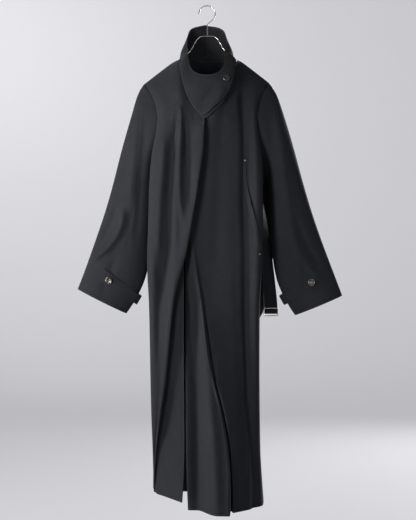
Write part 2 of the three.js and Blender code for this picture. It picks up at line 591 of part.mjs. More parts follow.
// The strap round each cuff, made from the sleeve's own rings, with its button on the outside of the sleeve
const TAB = { from: 0.806, to: 0.866, startAngle: 1.15, endAngle: 3.9, lift: 3.2, bow: 10, bowSpread: 0.42, thickness: 2.6 };
const CUFF_BUTTON_ANGLE = 1.5;
function addCuff(name, table, side) {
  const grid = Array.from({ length: 4 }, (_, r) => Array.from({ length: 15 }, (__, c) => {
    const angle = lerp(TAB.startAngle, TAB.endAngle, c / 14);
    const p = sleeveAt(table, side, lerp(TAB.from, TAB.to, r / 3), angle);
    const lift = TAB.lift + TAB.bow * Math.exp(-(((angle - Math.PI) / TAB.bowSpread) ** 2));
    return p.add(sleeveOut(table, side, lerp(TAB.from, TAB.to, r / 3), angle).multiplyScalar(lift));
  }));
  addPiece(`${name}_cuff_tab`, clothWall(grid, { thickness: TAB.thickness }), cloth);
  const middle = (TAB.from + TAB.to) / 2;
  const out = sleeveOut(table, side, middle, CUFF_BUTTON_ANGLE);
  const seat = sleeveAt(table, side, middle, CUFF_BUTTON_ANGLE)
    .addScaledVector(out, TAB.lift + TAB.thickness / 2 + 0.5);
  addDisc(`${name}_cuff_button`, seat, out, BUTTON.radius, BUTTON.height, horn);
}

function sleeveOut(table, side, t, angle) {
  const around = sleeveAt(table, side, t, angle + 0.02).sub(sleeveAt(table, side, t, angle - 0.02));
  const down = sleeveAt(table, side, t + 0.01, angle).sub(sleeveAt(table, side, t - 0.01, angle));
  const out = around.cross(down).normalize();
  const centre = sleeveAt(table, side, t, 0).add(sleeveAt(table, side, t, Math.PI)).multiplyScalar(0.5);
  return out.multiplyScalar(Math.sign(out.dot(sleeveAt(table, side, t, angle).sub(centre))));
}
addCuff('right', RIGHT_SLEEVE, RIGHT_SIDE);
addCuff('left', LEFT_SLEEVE, LEFT_SIDE);

// The button that holds the flap of the collar
const FLAP_BUTTON = { along: 10.4, drop: 0.46 };
const flapPoint = (along, drop) => collarAt(along, drop, 0);
const flapOut = flapPoint(FLAP_BUTTON.along + 0.1, FLAP_BUTTON.drop)
  .sub(flapPoint(FLAP_BUTTON.along - 0.1, FLAP_BUTTON.drop))
  .cross(flapPoint(FLAP_BUTTON.along, FLAP_BUTTON.drop + 0.05)
    .sub(flapPoint(FLAP_BUTTON.along, FLAP_BUTTON.drop - 0.05))).normalize();
flapOut.multiplyScalar(flapOut.y < 0 ? 1 : -1);
addDisc('collar_button', flapPoint(FLAP_BUTTON.along, FLAP_BUTTON.drop).addScaledVector(flapOut, WALL / 2 + 0.6),
  flapOut, BUTTON.radius * 0.95, BUTTON.height, horn);

// The belt: its tail behind the wearer's right side, the run round the back, and the strand with the buckle
const BELT_Z = -482;
const BUCKLE_TOP = -844;
const BELT_OFF = WALL / 2 + BELT_THICKNESS / 2 + 3.4;
const backRun = backGrid[0].map((_, c) => {
  const r = backGrid.findIndex((row) => row[c].z < BELT_Z);
  const [above, below] = [backGrid[r - 1][c], backGrid[r][c]];
  return above.clone().lerp(below, (above.z - BELT_Z) / (above.z - below.z));
});
const aroundBack = backRun.slice(2, -2).map((p, i) => {
  const along = backRun[i + 3].clone().sub(backRun[i + 1]);
  return { x: p.x - BELT_OFF * along.y / along.length(), y: p.y + BELT_OFF * along.x / along.length(), z: BELT_Z };
});
const TAIL = [
  { x: -157, y: 30, z: -790, wideY: 1 },
  { x: -145, y: 28, z: -715, wideY: 1 },
  { x: -136, y: 24, z: -620, wideY: 1 },
  { x: -134, y: 22, z: -540, wideY: 1, wideZ: 0.5 },
  { x: -134, y: 40, z: -490, wideY: 0.2, wideZ: 1 },
];
const STRAND = [
  { x: 139, y: 30, z: -484, wideY: 0.2, wideZ: 1 },
  { x: 142, y: 12, z: -496, wideY: 0.5, wideZ: 1 },
  { x: 145, y: 2, z: -522, wideY: 0.9, wideZ: 0.5 },
  { x: 152, y: 4, z: -556, wideX: 0.2, wideY: 1, wideZ: 0.2 },
  { x: 162, y: 6, z: -640, wideX: 0.62, wideY: 0.78 },
  { x: 168, y: 10, z: -720, wideX: 0.85, wideY: 0.5 },
  { x: 175, y: 12, z: -800, wideX: 1, wideY: 0.05 },
  { x: 178.5, y: 13.4, z: BUCKLE_TOP + 8, wideX: 1 },
  { x: 178.5, y: 14.4, z: BUCKLE_TOP - 6, wideX: 1 },
  { x: 178.5, y: 13.4, z: BUCKLE_TOP - 14, wideX: 1 },
  { x: 178.5, y: 10.4, z: BUCKLE_TOP - 16.2, wideX: 1 },
  { x: 178.5, y: 7.4, z: BUCKLE_TOP - 13, wideX: 1 },
  { x: 178.5, y: 7.4, z: BUCKLE_TOP - 8, wideX: 1 },
];
const BELT = [...TAIL, ...aroundBack.map((p) => ({ ...p, wideZ: 1 })), ...STRAND];
const BELT_STEPS = 2;
const beltLine = new THREE.CatmullRomCurve3(BELT.map(({ x, y, z }) => point(x, y, z)), false, 'centripetal');
const beltWide = ({ wideX = 0, wideY = 0, wideZ = 0 }) => point(wideX, wideY, wideZ);
const beltGrid = Array.from({ length: (BELT.length - 1) * BELT_STEPS + 1 }, (_, r) => {
  const place = r / BELT_STEPS;
  const i = Math.min(Math.floor(place), BELT.length - 2);
  const wide = beltWide(BELT[i]).lerp(beltWide(BELT[i + 1]), place - i).normalize();
  const middle = beltLine.getPoint(place / (BELT.length - 1));
  return [-0.5, 0, 0.5].map((side) => middle.clone().addScaledVector(wide, side * BELT_WIDTH));
});
addPiece('belt', clothWall(beltGrid, { thickness: BELT_THICKNESS }), cloth);

// A rod with round ends cut square, along a smooth path
function rod(points, radius, sides, steps) {
  const curve = new THREE.CatmullRomCurve3(points, false, 'centripetal');
  const round = new THREE.Shape().absarc(0, 0, radius, 0, 2 * Math.PI, false);
  return new THREE.ExtrudeGeometry(round, { steps, curveSegments: sides / 2, extrudePath: curve, bevelEnabled: false });
}

const LOOP_RADIUS = 1.1;
const LOOPS = [
  { name: 'right', out: -1, side: RIGHT_SIDE, half: 31, reach: 15, y: 46 },
  { name: 'left', out: 1, side: LEFT_SIDE, half: 37, reach: 27, y: 24 },
];
LOOPS.forEach(({ name, out, side, half, reach, y }) => {
  const xAt = (z) => valueAt(side, 'x', z) + out * 2.2;
  const [top, bottom] = [BELT_Z + half, BELT_Z - half];
  addPiece(`belt_loop_${name}`, rod([
    point(xAt(top), y, top),
    point(xAt(top) + out * reach * 0.6, y, top - 7),
    point(xAt(BELT_Z) + out * reach, y, BELT_Z),
    point(xAt(bottom) + out * reach * 0.6, y, bottom + 7),
    point(xAt(bottom), y, bottom),
  ], LOOP_RADIUS, 8, 14), cloth);
});

// The slide buckle: a rectangular frame and a middle bar, round which the belt's end is looped
const BUCKLE_CORNER = 3;
const buckleMiddle = point(178.5, 10.4, BUCKLE_TOP - BUCKLE.height / 2);
function buckleFrame() {
  const halfX = BUCKLE.width / 2 - BUCKLE.wire;
  const halfZ = BUCKLE.height / 2 - BUCKLE.wire;
  const rows = [];
  for (const [signX, signZ, start] of [[1, 1, 0], [-1, 1, 1], [-1, -1, 2], [1, -1, 3]]) {
    for (let j = 0; j <= 3; j += 1) {
      const angle = (start + j / 3) * Math.PI / 2;
      const out = point(Math.cos(angle), 0, Math.sin(angle));
      const centre = point(signX * (halfX - BUCKLE_CORNER), 0, signZ * (halfZ - BUCKLE_CORNER))
        .addScaledVector(out, BUCKLE_CORNER).add(buckleMiddle);
      rows.push(Array.from({ length: 8 }, (_, k) => {
        const around = 2 * Math.PI * k / 8;
        return centre.clone().addScaledVector(out, BUCKLE.wire * Math.cos(around))
          .add(point(0, BUCKLE.wire * Math.sin(around), 0));
      }));
    }
  }
  return rows;
}

// A tube whose rows close on each other as well as each row on itself
function closedTube(rows) {
  const around = rows[0].length;
  const positions = rows.flat().flatMap((p) => p.toArray());
  const at = (r, c) => (r % rows.length) * around + (c % around);
  const index = [];
  rows.forEach((_, r) => rows[0].forEach((__, c) => {
    index.push(at(r, c), at(r + 1, c), at(r + 1, c + 1), at(r, c), at(r + 1, c + 1), at(r, c + 1));
  }));
  const geometry = new THREE.BufferGeometry();
  geometry.setAttribute('position', new THREE.Float32BufferAttribute(positions, 3));
  geometry.setIndex(signedVolume(positions, index) < 0 ? index.reverse() : index);
  return geometry;
}
addPiece('belt_buckle', closedTube(buckleFrame()), metal);
const barHalf = BUCKLE.width / 2 - 2 * BUCKLE.wire - 0.4;
addPiece('belt_buckle_bar', rod([
  buckleMiddle.clone().add(point(-barHalf, 0, 0)), buckleMiddle.clone().add(point(barHalf, 0, 0)),
], BUCKLE.wire * 0.8, 8, 1), metal);

// The hanger: the hook with its stem, and the arms that run under the shoulder seams
const HANGER_Z = -84;
const HOOK = { x: -1.5, z: -(HOOK_RADIUS - WIRE) };
const hookPath = Array.from({ length: 9 }, (_, i) => {
  const angle = lerp(178, -62, i / 8) * Math.PI / 180;
  return point(HOOK.x + HOOK_RADIUS * Math.cos(angle), 0, HOOK.z + HOOK_RADIUS * Math.sin(angle));
});
hookPath.push(point(1.5, 0, -49), point(0, 0, -56), point(0, 0, HANGER_Z + 2 * WIRE - 1.4));
addPiece('hanger_hook', rod(hookPath, WIRE, 8, 30), metal);
const ARM_UNDER = 6.2;
const armHalf = [
  point(20, 0, HANGER_Z), point(28, 0, -91), point(35, 0, -102), point(47, 0, -123), point(62, 0, -139),
  point(80, 0, shoulderZ(80) - ARM_UNDER), point(120, 0, shoulderZ(120) - ARM_UNDER),
  point(164, 0, shoulderZ(164) - ARM_UNDER),
];
const armPath = [...armHalf.map((p) => point(-p.x, p.y, p.z)).reverse(), point(0, 0, HANGER_Z), ...armHalf];
addPiece('hanger_arms', rod(armPath, WIRE, 8, 40), metal);

export default coat;
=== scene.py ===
"""A long wool wrap coat with a funnel collar, hung on a wire hanger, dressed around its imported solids.

Sizes are in metres unless a name or a table says millimetres. The coat faces -Y.
The origin is the inside top of the hook.
"""

import math
from collections import namedtuple

import bmesh
import bpy
import numpy as np
from mathutils import Matrix, Vector, noise
from mathutils.bvhtree import BVHTree
from mathutils.kdtree import KDTree


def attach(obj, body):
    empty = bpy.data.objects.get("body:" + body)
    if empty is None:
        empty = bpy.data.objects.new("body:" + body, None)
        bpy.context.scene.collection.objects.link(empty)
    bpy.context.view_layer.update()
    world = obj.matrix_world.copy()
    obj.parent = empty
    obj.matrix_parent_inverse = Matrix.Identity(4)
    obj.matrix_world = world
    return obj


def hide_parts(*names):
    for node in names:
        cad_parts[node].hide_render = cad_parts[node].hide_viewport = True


bl_info = {
    "name": "Wrap coat on a hanger",
    "version": (1, 0, 0),
    "blender": (4, 5, 0),
    "location": "View3D > Sidebar > Coat",
    "description": "Dresses a packed wrap coat with its cloth, folds, buttons, belt and hanger",
    "category": "Object",
}

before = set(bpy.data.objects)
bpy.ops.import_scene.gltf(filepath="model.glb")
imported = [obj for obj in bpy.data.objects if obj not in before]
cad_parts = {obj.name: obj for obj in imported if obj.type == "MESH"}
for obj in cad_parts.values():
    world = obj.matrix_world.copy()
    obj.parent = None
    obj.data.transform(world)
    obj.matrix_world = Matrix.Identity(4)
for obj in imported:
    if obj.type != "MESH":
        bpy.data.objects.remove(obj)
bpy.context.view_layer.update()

MM = 0.001
TO_MM = 1000
TINY = 1e-9

# A packed wall of cloth: how close its doubles lie, the width of its cut edge and how sharply it turns there
MERGE = 1e-5
RUNG_LENGTHS = (1.5 * MM, 3.2 * MM)
RIM_ANGLE = math.radians(52)
QUAD_ANGLE = math.radians(60)
BODY_LEVELS = 2
FINE_LEVELS = 3

# A seam draws a cut edge over its reach, and the cloth beside it follows over its fade
Seam = namedtuple("Seam", "reach fade")
SIDE_SEAM = Seam(9 * MM, 26 * MM)
ARMHOLE_SEAM = Seam(14 * MM, 40 * MM)
NECK_SEAM = Seam(15 * MM, 26 * MM)
COLLAR_BACK_SEAM = Seam(14 * MM, 20 * MM)
SEAM_LEFT_OPEN = 0.25 * MM
SEAM_NEIGHBOURS = 4
SEAM_SOFTNESS = 0.1 * MM
SEWN_WITHIN = 4 * MM
EDGE_REACH = 60 * MM

# Where the collar is sewn: behind and below these places, and at the middle of the back
NECKLINE_FRONT = -34 * MM
NECKLINE_TOP = -128 * MM
COLLAR_BACK = 45 * MM
COLLAR_BACK_HALF = 9 * MM
NECK_TUCK_IN = 2.8 * MM
NECK_TUCK_DOWN = 8 * MM
NECK_TUCK_FADE = 22 * MM
NECK_TUCK_FRONT = (-60 * MM, -30 * MM)

# How far a cuff's strap is laid down on the sleeve at most
TAB_DROP = 2.4 * MM

# Waves to the metre across and down the hanging cloth, the smaller ripples over them and their share
WAVES = (17, 4.2)
RIPPLES = (41, 11)
RIPPLE_SHARE = 0.45
CLOTH_SEEDS = {"back_panel": 3.1, "right_front": 7.7, "left_front": 12.3, "right_sleeve": 21.0,
               "left_sleeve": 25.0, "collar_right": 31.0, "collar_left": 31.0, "right_cuff_tab": 41.0,
               "left_cuff_tab": 41.0, "left_pocket_welt": 43.0, "belt": 47.0}

# A fold runs down a line of (z, x) places in millimetres, the highest first. It stands out by its rise, has a
# half width to the left and to the right of the line, and fades in and out at its two ends
Fold = namedtuple("Fold", "rise left right fade line")


class CoatSizes(bpy.types.PropertyGroup):
    """Sizes and colours that a user of the coat would change."""

    wool_colour: bpy.props.FloatVectorProperty(
        name="Wool colour", description="Colour of the wool cloth", subtype="COLOR", size=3,
        default=(0.0196, 0.0205, 0.0238), min=0, max=1)
    metal_colour: bpy.props.FloatVectorProperty(
        name="Metal colour", description="Colour of the hanger, the buckle and the tacks", subtype="COLOR",
        size=3, default=(0.78, 0.73, 0.67), min=0, max=1)
    horn_colour: bpy.props.FloatVectorProperty(
        name="Horn colour", description="Colour of the buttons", subtype="COLOR", size=3,
        default=(0.035, 0.026, 0.024), min=0, max=1)
    fold_depth: bpy.props.FloatProperty(
        name="Fold depth", description="How far the small folds stand out, as a share of the coat's own",
        default=1.0, min=0, max=1.5, subtype="FACTOR")
    cloth_waviness: bpy.props.FloatProperty(
        name="Cloth waviness", description="Height of the slow unevenness of the hanging cloth",
        default=1.1 * MM, min=0, max=0.004, unit="LENGTH", subtype="DISTANCE", precision=4)
    button_hole: bpy.props.FloatProperty(
        name="Button hole", description="Radius of each thread hole in a button",
        default=1.0 * MM, min=0.0004, max=0.002, unit="LENGTH", subtype="DISTANCE", precision=4)
    floor_drop: bpy.props.FloatProperty(
        name="Floor", description="Height of the studio floor below the hook", default=-1.62, max=-1.4,
        unit="LENGTH", subtype="DISTANCE")


def sizes():
    """The sizes and colours that the scene holds."""
    return bpy.context.scene.coat_sizes


# Reading tables down the coat


def down(rows, z):
    """A smooth value at each height from rows of (z, value), the highest first."""
    keys = -np.array([row[0] for row in rows], float)
    values = np.array([row[1] for row in rows], float)
    slopes = np.gradient(values, keys) if len(rows) > 1 else np.zeros(1)
    at = -np.asarray(z, float)
    i = np.clip(np.searchsorted(keys, at) - 1, 0, len(rows) - 2)
    span = keys[i + 1] - keys[i]
    t = np.clip((at - keys[i]) / span, 0, 1)
    low = (2 * t - 3) * t * t + 1
    return (low * values[i] + (1 - low) * values[i + 1]
            + (t - 1) * t * span * ((t - 1) * slopes[i] + t * slopes[i + 1]))


def step(low, high, value):
    """0 below low, 1 above high and smooth between them."""
    t = np.clip((value - low) / (high - low), 0, 1)
    return t * t * (3 - 2 * t)


def fold_rise(folds, x, z):
    """How far the folds stand out at places in millimetres."""
    rise = np.zeros(len(x))
    for fold in folds:
        top, bottom = fold.line[0][0], fold.line[-1][0]
        begun = step(-top - fold.fade, -top + fold.fade, -z)
        ended = step(-bottom - fold.fade, -bottom + fold.fade, -z)
        shown = begun * (1 - ended)
        off = x - down(fold.line, z)
        half = np.where(off < 0, fold.left, fold.right)
        rise += fold.rise * shown * np.exp(-(off / half) ** 2)
    return rise


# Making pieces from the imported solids


def merged(node):
    """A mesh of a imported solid, with its doubles merged and its triangles joined into four-sided faces."""
    bm = bmesh.new()
    bm.from_mesh(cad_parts[node].data)
    bmesh.ops.remove_doubles(bm, verts=bm.verts, dist=MERGE)
    longest = {}
    for face in bm.faces:
        longest[face] = max(face.edges, key=lambda e: e.calc_length())
    diagonals = [e for e in bm.edges if len(e.link_faces) == 2 and all(longest[f] == e for f in e.link_faces)]
    bmesh.ops.dissolve_edges(bm, edges=diagonals, use_verts=False, use_face_split=False)
    bmesh.ops.join_triangles(bm, faces=[f for f in bm.faces if len(f.verts) == 3],
                             angle_face_threshold=QUAD_ANGLE, angle_shape_threshold=math.pi)
    return bm


def crease_rims(bm):
    """Keeps the cut edges of a wall of cloth crisp when it is subdivided."""
    crease = bm.edges.layers.float.get("crease_edge") or bm.edges.layers.float.new("crease_edge")
    rungs = {e for e in bm.edges if RUNG_LENGTHS[0] < e.calc_length() < RUNG_LENGTHS[1]}
    for edge in bm.edges:
        beside = edge in rungs or any(e in rungs for f in edge.link_faces for e in f.edges)
        if beside and edge.calc_face_angle(0) > RIM_ANGLE:
            edge[crease] = 1
            edge.smooth = False
    for face in bm.faces:
        face.smooth = True


def subdivided(name, bm, levels):
    """An object whose mesh is the bmesh subdivided smoothly."""
    mesh = bpy.data.meshes.new(name)
    bm.to_mesh(mesh)
    bm.free()
    rough = bpy.data.objects.new(name, mesh)
    bpy.context.scene.collection.objects.link(rough)
    smoother = rough.modifiers.new("Smooth", "SUBSURF")
    smoother.levels = smoother.render_levels = levels
    return with_modifiers_applied(rough)


def with_modifiers_applied(rough):
    """The object with its modifiers made part of its mesh."""
    bpy.context.view_layer.update()
    done = bpy.data.meshes.new_from_object(rough.evaluated_get(bpy.context.evaluated_depsgraph_get()))
    name, old = rough.name, rough.data
    bpy.data.objects.remove(rough)
    bpy.data.meshes.remove(old)
    done.name = name
    piece = bpy.data.objects.new(name, done)
    bpy.context.scene.collection.objects.link(piece)
    return piece


def places(piece):
    """The piece's vertices as an array."""
    co = np.empty(len(piece.data.vertices) * 3)
    piece.data.vertices.foreach_get("co", co)
    return co.reshape(-1, 3)


def normals(piece):
    """The piece's vertex normals as an array."""
    n = np.empty(len(piece.data.vertices) * 3)
    piece.data.vertices.foreach_get("normal", n)
    return n.reshape(-1, 3)


def put(piece, co):
    """Moves the piece's vertices to the places in the array."""
    piece.data.vertices.foreach_set("co", co.ravel())
    piece.data.update()


def rim_of(piece):
    """Which vertices lie on the piece's cut edges."""
    sharp = np.zeros(len(piece.data.edges), bool)
    layer = piece.data.attributes.get("sharp_edge")
    if layer:
        layer.data.foreach_get("value", sharp)
    ends = np.empty(len(piece.data.edges) * 2, int)
    piece.data.edges.foreach_get("vertices", ends)
    rim = np.zeros(len(piece.data.vertices), bool)
    rim[ends.reshape(-1, 2)[sharp].ravel()] = True
    return rim


def wave_cloth(co, depth, seed):
    """A slow unevenness, long down the cloth and short across it, at each vertex."""
    rise = [noise.noise(Vector((x * WAVES[0] + seed, y * WAVES[0], z * WAVES[1])))
            + RIPPLE_SHARE * noise.noise(Vector((x * RIPPLES[0], y * RIPPLES[0] + seed, z * RIPPLES[1])))
            for x, y, z in co]
    return depth * np.array(rise)


def close_seam(piece, others, seam, sewn=None):
    """Brings the piece's cut edge up to the pieces that it is sewn to.

    Where only a stretch of the edge is sewn, sewn says which of the piece's places lie there.
    """
    co = places(piece)
    chosen = rim_of(piece) if sewn is None else rim_of(piece) & sewn(co)
    trees = [BVHTree.FromObject(o, bpy.context.evaluated_depsgraph_get()) for o in others]
    moved, where = [], []
    for i in np.flatnonzero(chosen):
        p = Vector(co[i])
        hits = [tree.find_nearest(p, seam.reach) for tree in trees]
        spots = [(far, spot) for spot, _, _, far in hits if spot is not None]
        if spots:
            gap = min(spots, key=lambda pair: pair[0])[1] - p
            moved.append(gap * max(0, 1 - SEAM_LEFT_OPEN / max(gap.length, TINY)))
            where.append(i)
    if not where:
        return
    tree = place_tree(co[where])
    result = co.copy()
    for i, p in enumerate(co):
        found = tree.find_n(Vector(p), SEAM_NEIGHBOURS)
        nearest = found[0][2]
        if nearest < seam.fade:
            weights = [1 / (far + SEAM_SOFTNESS) ** 2 for _, _, far in found]
            shift = sum((moved[k] * w for (_, k, _), w in zip(found, weights)), Vector()) / sum(weights)
            hold = 1 - nearest / seam.fade
            result[i] = p + np.array(shift) * hold * hold * (3 - 2 * hold)
    put(piece, result)


def place_tree(co):
    """A search tree of the places in the array."""
    tree = KDTree(len(co))
    for k, p in enumerate(co):
        tree.insert(Vector(p), k)
    tree.balance()
    return tree


def mark_edges(piece, sewn_to):
    """Keeps each vertex's distance from the piece's free edges, in millimetres, for the cloth's pressed line
    and for the wear and painted sheen along its edges.
    """
    co = places(piece)
    trees = [BVHTree.FromObject(o, bpy.context.evaluated_depsgraph_get()) for o in sewn_to]
    free = [i for i in np.flatnonzero(rim_of(piece))
            if all(t.find_nearest(Vector(co[i]), SEWN_WITHIN)[0] is None for t in trees)]
    distance = np.full(len(co), EDGE_REACH)
    if free:
        tree = place_tree(co[free])
        distance = np.array([min(tree.find(Vector(p))[2], EDGE_REACH) for p in co])
    layer = piece.data.attributes.new("edge_mm", "FLOAT", "POINT")
    layer.data.foreach_set("value", (distance / MM).astype(np.float32))


def dress(piece, nodes, slot, *materials):
    """Gives the piece its materials and its body, and hides the solids that it stands for; the slot is not
    used.
    """
    piece.data.materials.clear()
    for material in materials:
        piece.data.materials.append(material)
    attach(piece, "root")
    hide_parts(*nodes)
    return piece


# Finishes


def shader_group(name, inputs, outputs):
    """An empty shader node group with its sockets, and its input and output nodes."""
    tree = bpy.data.node_groups.new(name, "ShaderNodeTree")
    for label, kind, default in inputs:
        socket = tree.interface.new_socket(name=label, in_out="INPUT", socket_type=kind)
        if default is not None:
            socket.default_value = default
    for label, kind in outputs:
        tree.interface.new_socket(name=label, in_out="OUTPUT", socket_type=kind)
    return tree, tree.nodes.new("NodeGroupInput"), tree.nodes.new("NodeGroupOutput")


class Wiring:
    """Adds nodes to a tree and joins them."""

    def __init__(self, tree):
        self.tree = tree

    def add(self, kind, inputs=(), **settings):
        """A new node with its settings and with values or links in its inputs."""
        node = self.tree.nodes.new(kind)
        for key, value in settings.items():
            setattr(node, key, value)
        for key, value in dict(inputs).items():
            self.feed(node.inputs[key], value)
        return node

    def feed(self, socket, value):
        """Links or sets a socket."""
        if isinstance(value, bpy.types.NodeSocket):
            self.tree.links.new(value, socket)
        else:
            socket.default_value = value

    def math(self, operation, *values):
        """One step of arithmetic."""
        return self.add("ShaderNodeMath", dict(enumerate(values)), operation=operation).outputs[0]

    def span(self, value, low, high, span):
        """The value's stretch from low to high, smoothly laid on the span."""
        inputs = {"Value": value, "From Min": low, "From Max": high, "To Min": span[0], "To Max": span[1]}
        return self.add("ShaderNodeMapRange", inputs, interpolation_type="SMOOTHSTEP").outputs[0]

    def noise(self, place, scale, detail):
        """Cloudy noise from 0 to 1."""
        node = self.add("ShaderNodeTexNoise", {"Vector": place, "Scale": scale, "Detail": detail})
        return node.outputs["Fac"]

    def tint(self, colour, value):
        """The colour made lighter or darker by the value."""
        node = self.add("ShaderNodeMix", data_type="RGBA", blend_type="MULTIPLY")
        self.feed(node.inputs["Factor"], 1.0)
        self.feed(node.inputs["A"], colour)
        grey = self.add("ShaderNodeCombineColor", {"Red": value, "Green": value, "Blue": value})
        self.feed(node.inputs["B"], grey.outputs[0])
        return node.outputs["Result"]


# The wool's tone: the nap's share and the base, the patches that it is multiplied by, the painted shade of
# its pressed lines and the wear and painted sheen of its edges
NAP_TONE = (0.55, 0.62)
PATCH_TONE = (0.93, 1.08)
BROAD_TONE = (0.95, 1.06)
# How much darker the pressed line is painted, as shade in its groove
PRESSED_LINE_PAINTED_SHADE = 0.3
# How much lighter the free edges are painted, as wear and as sheen
WORN_AND_SHEEN_LIGHTER = 0.18
WOOL_ROUGHNESS = (0.74, 0.9)
RUBBED_SMOOTHER = -0.06
PRESSED_HALF_MM = 1.6
WORN_AND_SHEEN_MM = 5.0

# How much each of the wool's patterns adds to its height, and how deep a pressed line lies
NAP_HEIGHT = 0.6
TWILL_HEIGHT = 0.3
PATCH_HEIGHT = 0.25
PRESSED_DEPTH = 1.4


def wool_group():
    """Brushed wool: nap fibres over a fine twill, slow mottling, a pressed line beside each free edge
    darkened with painted shade, and each free edge lightened with wear and painted sheen.
    """
    tree, start, end = shader_group(
        "Brushed wool",
        [("Position", "NodeSocketVector", None), ("Colour", "NodeSocketColor", None),
         ("Nap Scale", "NodeSocketFloat", 900.0), ("Twill Scale", "NodeSocketFloat", 210.0),
         ("Edge", "NodeSocketFloat", 60.0), ("Press Line", "NodeSocketFloat", 7.0)],
        [("Colour", "NodeSocketColor"), ("Roughness", "NodeSocketFloat"), ("Height", "NodeSocketFloat")])
    w = Wiring(tree)
    place, edge = start.outputs["Position"], start.outputs["Edge"]
    nap = w.noise(place, start.outputs["Nap Scale"], detail=4.0)
    patch = w.noise(place, scale=60.0, detail=3.0)
    broad = w.noise(place, scale=9.0, detail=2.0)
    twill = w.add("ShaderNodeTexWave", {"Vector": place, "Scale": start.outputs["Twill Scale"],
                                        "Distortion": 0.6, "Detail": 1.0, "Detail Scale": 4.0},
                  wave_type="BANDS", bands_direction="DIAGONAL").outputs["Fac"]
    off = w.math("ABSOLUTE", w.math("SUBTRACT", edge, start.outputs["Press Line"]))
    pressed_groove_and_shade = w.span(off, 0.0, PRESSED_HALF_MM, (1.0, 0.0))
    worn_and_sheen = w.span(edge, 0.0, WORN_AND_SHEEN_MM, (1.0, 0.0))
    tone = w.math("MULTIPLY_ADD", nap, *NAP_TONE)
    tone = w.math("MULTIPLY", tone, w.span(patch, 0.25, 0.75, PATCH_TONE))
    tone = w.math("MULTIPLY", tone, w.span(broad, 0.3, 0.7, BROAD_TONE))
    # The pressed line beside each free edge is darkened with painted shade, over its bumped groove
    tone = w.math("MULTIPLY", tone, w.math("SUBTRACT", 1.0, w.math("MULTIPLY", pressed_groove_and_shade, PRESSED_LINE_PAINTED_SHADE)))
    # Each free edge is lightened as wear and as painted sheen
    tone = w.math("ADD", tone, w.math("MULTIPLY", worn_and_sheen, WORN_AND_SHEEN_LIGHTER))
    w.feed(end.inputs["Colour"], w.tint(start.outputs["Colour"], tone))
    rough = w.span(nap, 0.2, 0.8, WOOL_ROUGHNESS)
    w.feed(end.inputs["Roughness"], w.math("ADD", rough, w.math("MULTIPLY", worn_and_sheen, RUBBED_SMOOTHER)))
    height = w.math("MULTIPLY", nap, NAP_HEIGHT)
    height = w.math("ADD", height, w.math("MULTIPLY", twill, TWILL_HEIGHT))
    height = w.math("ADD", height, w.math("MULTIPLY", patch, PATCH_HEIGHT))
    height = w.math("SUBTRACT", height, w.math("MULTIPLY", pressed_groove_and_shade, PRESSED_DEPTH))
    w.feed(end.inputs["Height"], height)
    return tree


CLOUD_TONE = (0.82, 1.1)


def wear_group():
    """Fine scratches and slow cloudiness for polished parts."""
    tree, start, end = shader_group(
        "Handled polish",
        [("Position", "NodeSocketVector", None), ("Colour", "NodeSocketColor", None),
         ("Scale", "NodeSocketFloat", 400.0), ("Smooth", "NodeSocketFloat", 0.18),
         ("Rough", "NodeSocketFloat", 0.32)],
        [("Colour", "NodeSocketColor"), ("Roughness", "NodeSocketFloat"), ("Height", "NodeSocketFloat")])
    w = Wiring(tree)
    place = start.outputs["Position"]
    fine = w.noise(place, start.outputs["Scale"], detail=5.0)
    slow = w.noise(place, scale=55.0, detail=2.0)
    w.feed(end.inputs["Colour"], w.tint(start.outputs["Colour"], w.span(slow, 0.3, 0.7, CLOUD_TONE)))
    rough = w.add("ShaderNodeMapRange", {"Value": fine, "From Min": 0.3, "From Max": 0.75,
                                         "To Min": start.outputs["Smooth"], "To Max": start.outputs["Rough"]})
    w.feed(end.inputs["Roughness"], rough.outputs[0])
    w.feed(end.inputs["Height"], fine)
    return tree


def finish(name, group, colour, sockets, group_values, bump, edge=False):
    """A material: one shared effect group feeding a Principled BSDF that carries its own constants."""
    material = bpy.data.materials.new(name)
    material.use_nodes = True
    tree = material.node_tree
    shader = tree.nodes["Principled BSDF"]
    w = Wiring(tree)
    effect = w.add("ShaderNodeGroup", node_tree=group)
    w.feed(effect.inputs["Position"], w.add("ShaderNodeTexCoord").outputs["Object"])
    w.feed(effect.inputs["Colour"], (*colour, 1.0))
    for key, value in group_values.items():
        w.feed(effect.inputs[key], value)
    if edge:
        w.feed(effect.inputs["Edge"], w.add("ShaderNodeAttribute", attribute_name="edge_mm").outputs["Fac"])
    strength, distance = bump
    bumps = w.add("ShaderNodeBump", {"Strength": strength, "Distance": distance,
                                     "Height": effect.outputs["Height"]})
    w.feed(shader.inputs["Base Color"], effect.outputs["Colour"])
    w.feed(shader.inputs["Roughness"], effect.outputs["Roughness"])
    w.feed(shader.inputs["Normal"], bumps.outputs["Normal"])
    for key, value in sockets.items():
        w.feed(shader.inputs[key], value)
    return material


def finishes():
    """The materials of the coat, made once."""
    if "Black wool" not in bpy.data.materials:
        s = sizes()
        wool, polish = wool_group(), wear_group()
        soft = {"Sheen Weight": 0.06, "Sheen Roughness": 0.5, "Sheen Tint": (0.86, 0.9, 1.0, 1.0),
                "Specular IOR Level": 0.14}
        finish("Black wool", wool, s.wool_colour, soft, {}, (0.5, 0.35 * MM), edge=True)
        finish("Black wool thread", wool, s.wool_colour, soft, {"Nap Scale": 1600.0}, (0.5, 0.2 * MM))
        finish("Brushed champagne metal", polish, s.metal_colour, {"Metallic": 1.0},
               {"Smooth": 0.16, "Rough": 0.3}, (0.1, 0.05 * MM))
        finish("Dark horn", polish, s.horn_colour,
               {"Specular IOR Level": 0.7, "Coat Weight": 0.8, "Coat Roughness": 0.06},
               {"Scale": 240.0, "Smooth": 0.16, "Rough": 0.26}, (0.1, 0.1 * MM))
    return {key: bpy.data.materials[name] for key, name in (
        ("wool", "Black wool"), ("thread", "Black wool thread"),
        ("metal", "Brushed champagne metal"), ("horn", "Dark horn"))}


# The coat's own folds, in millimetres, seen from the front

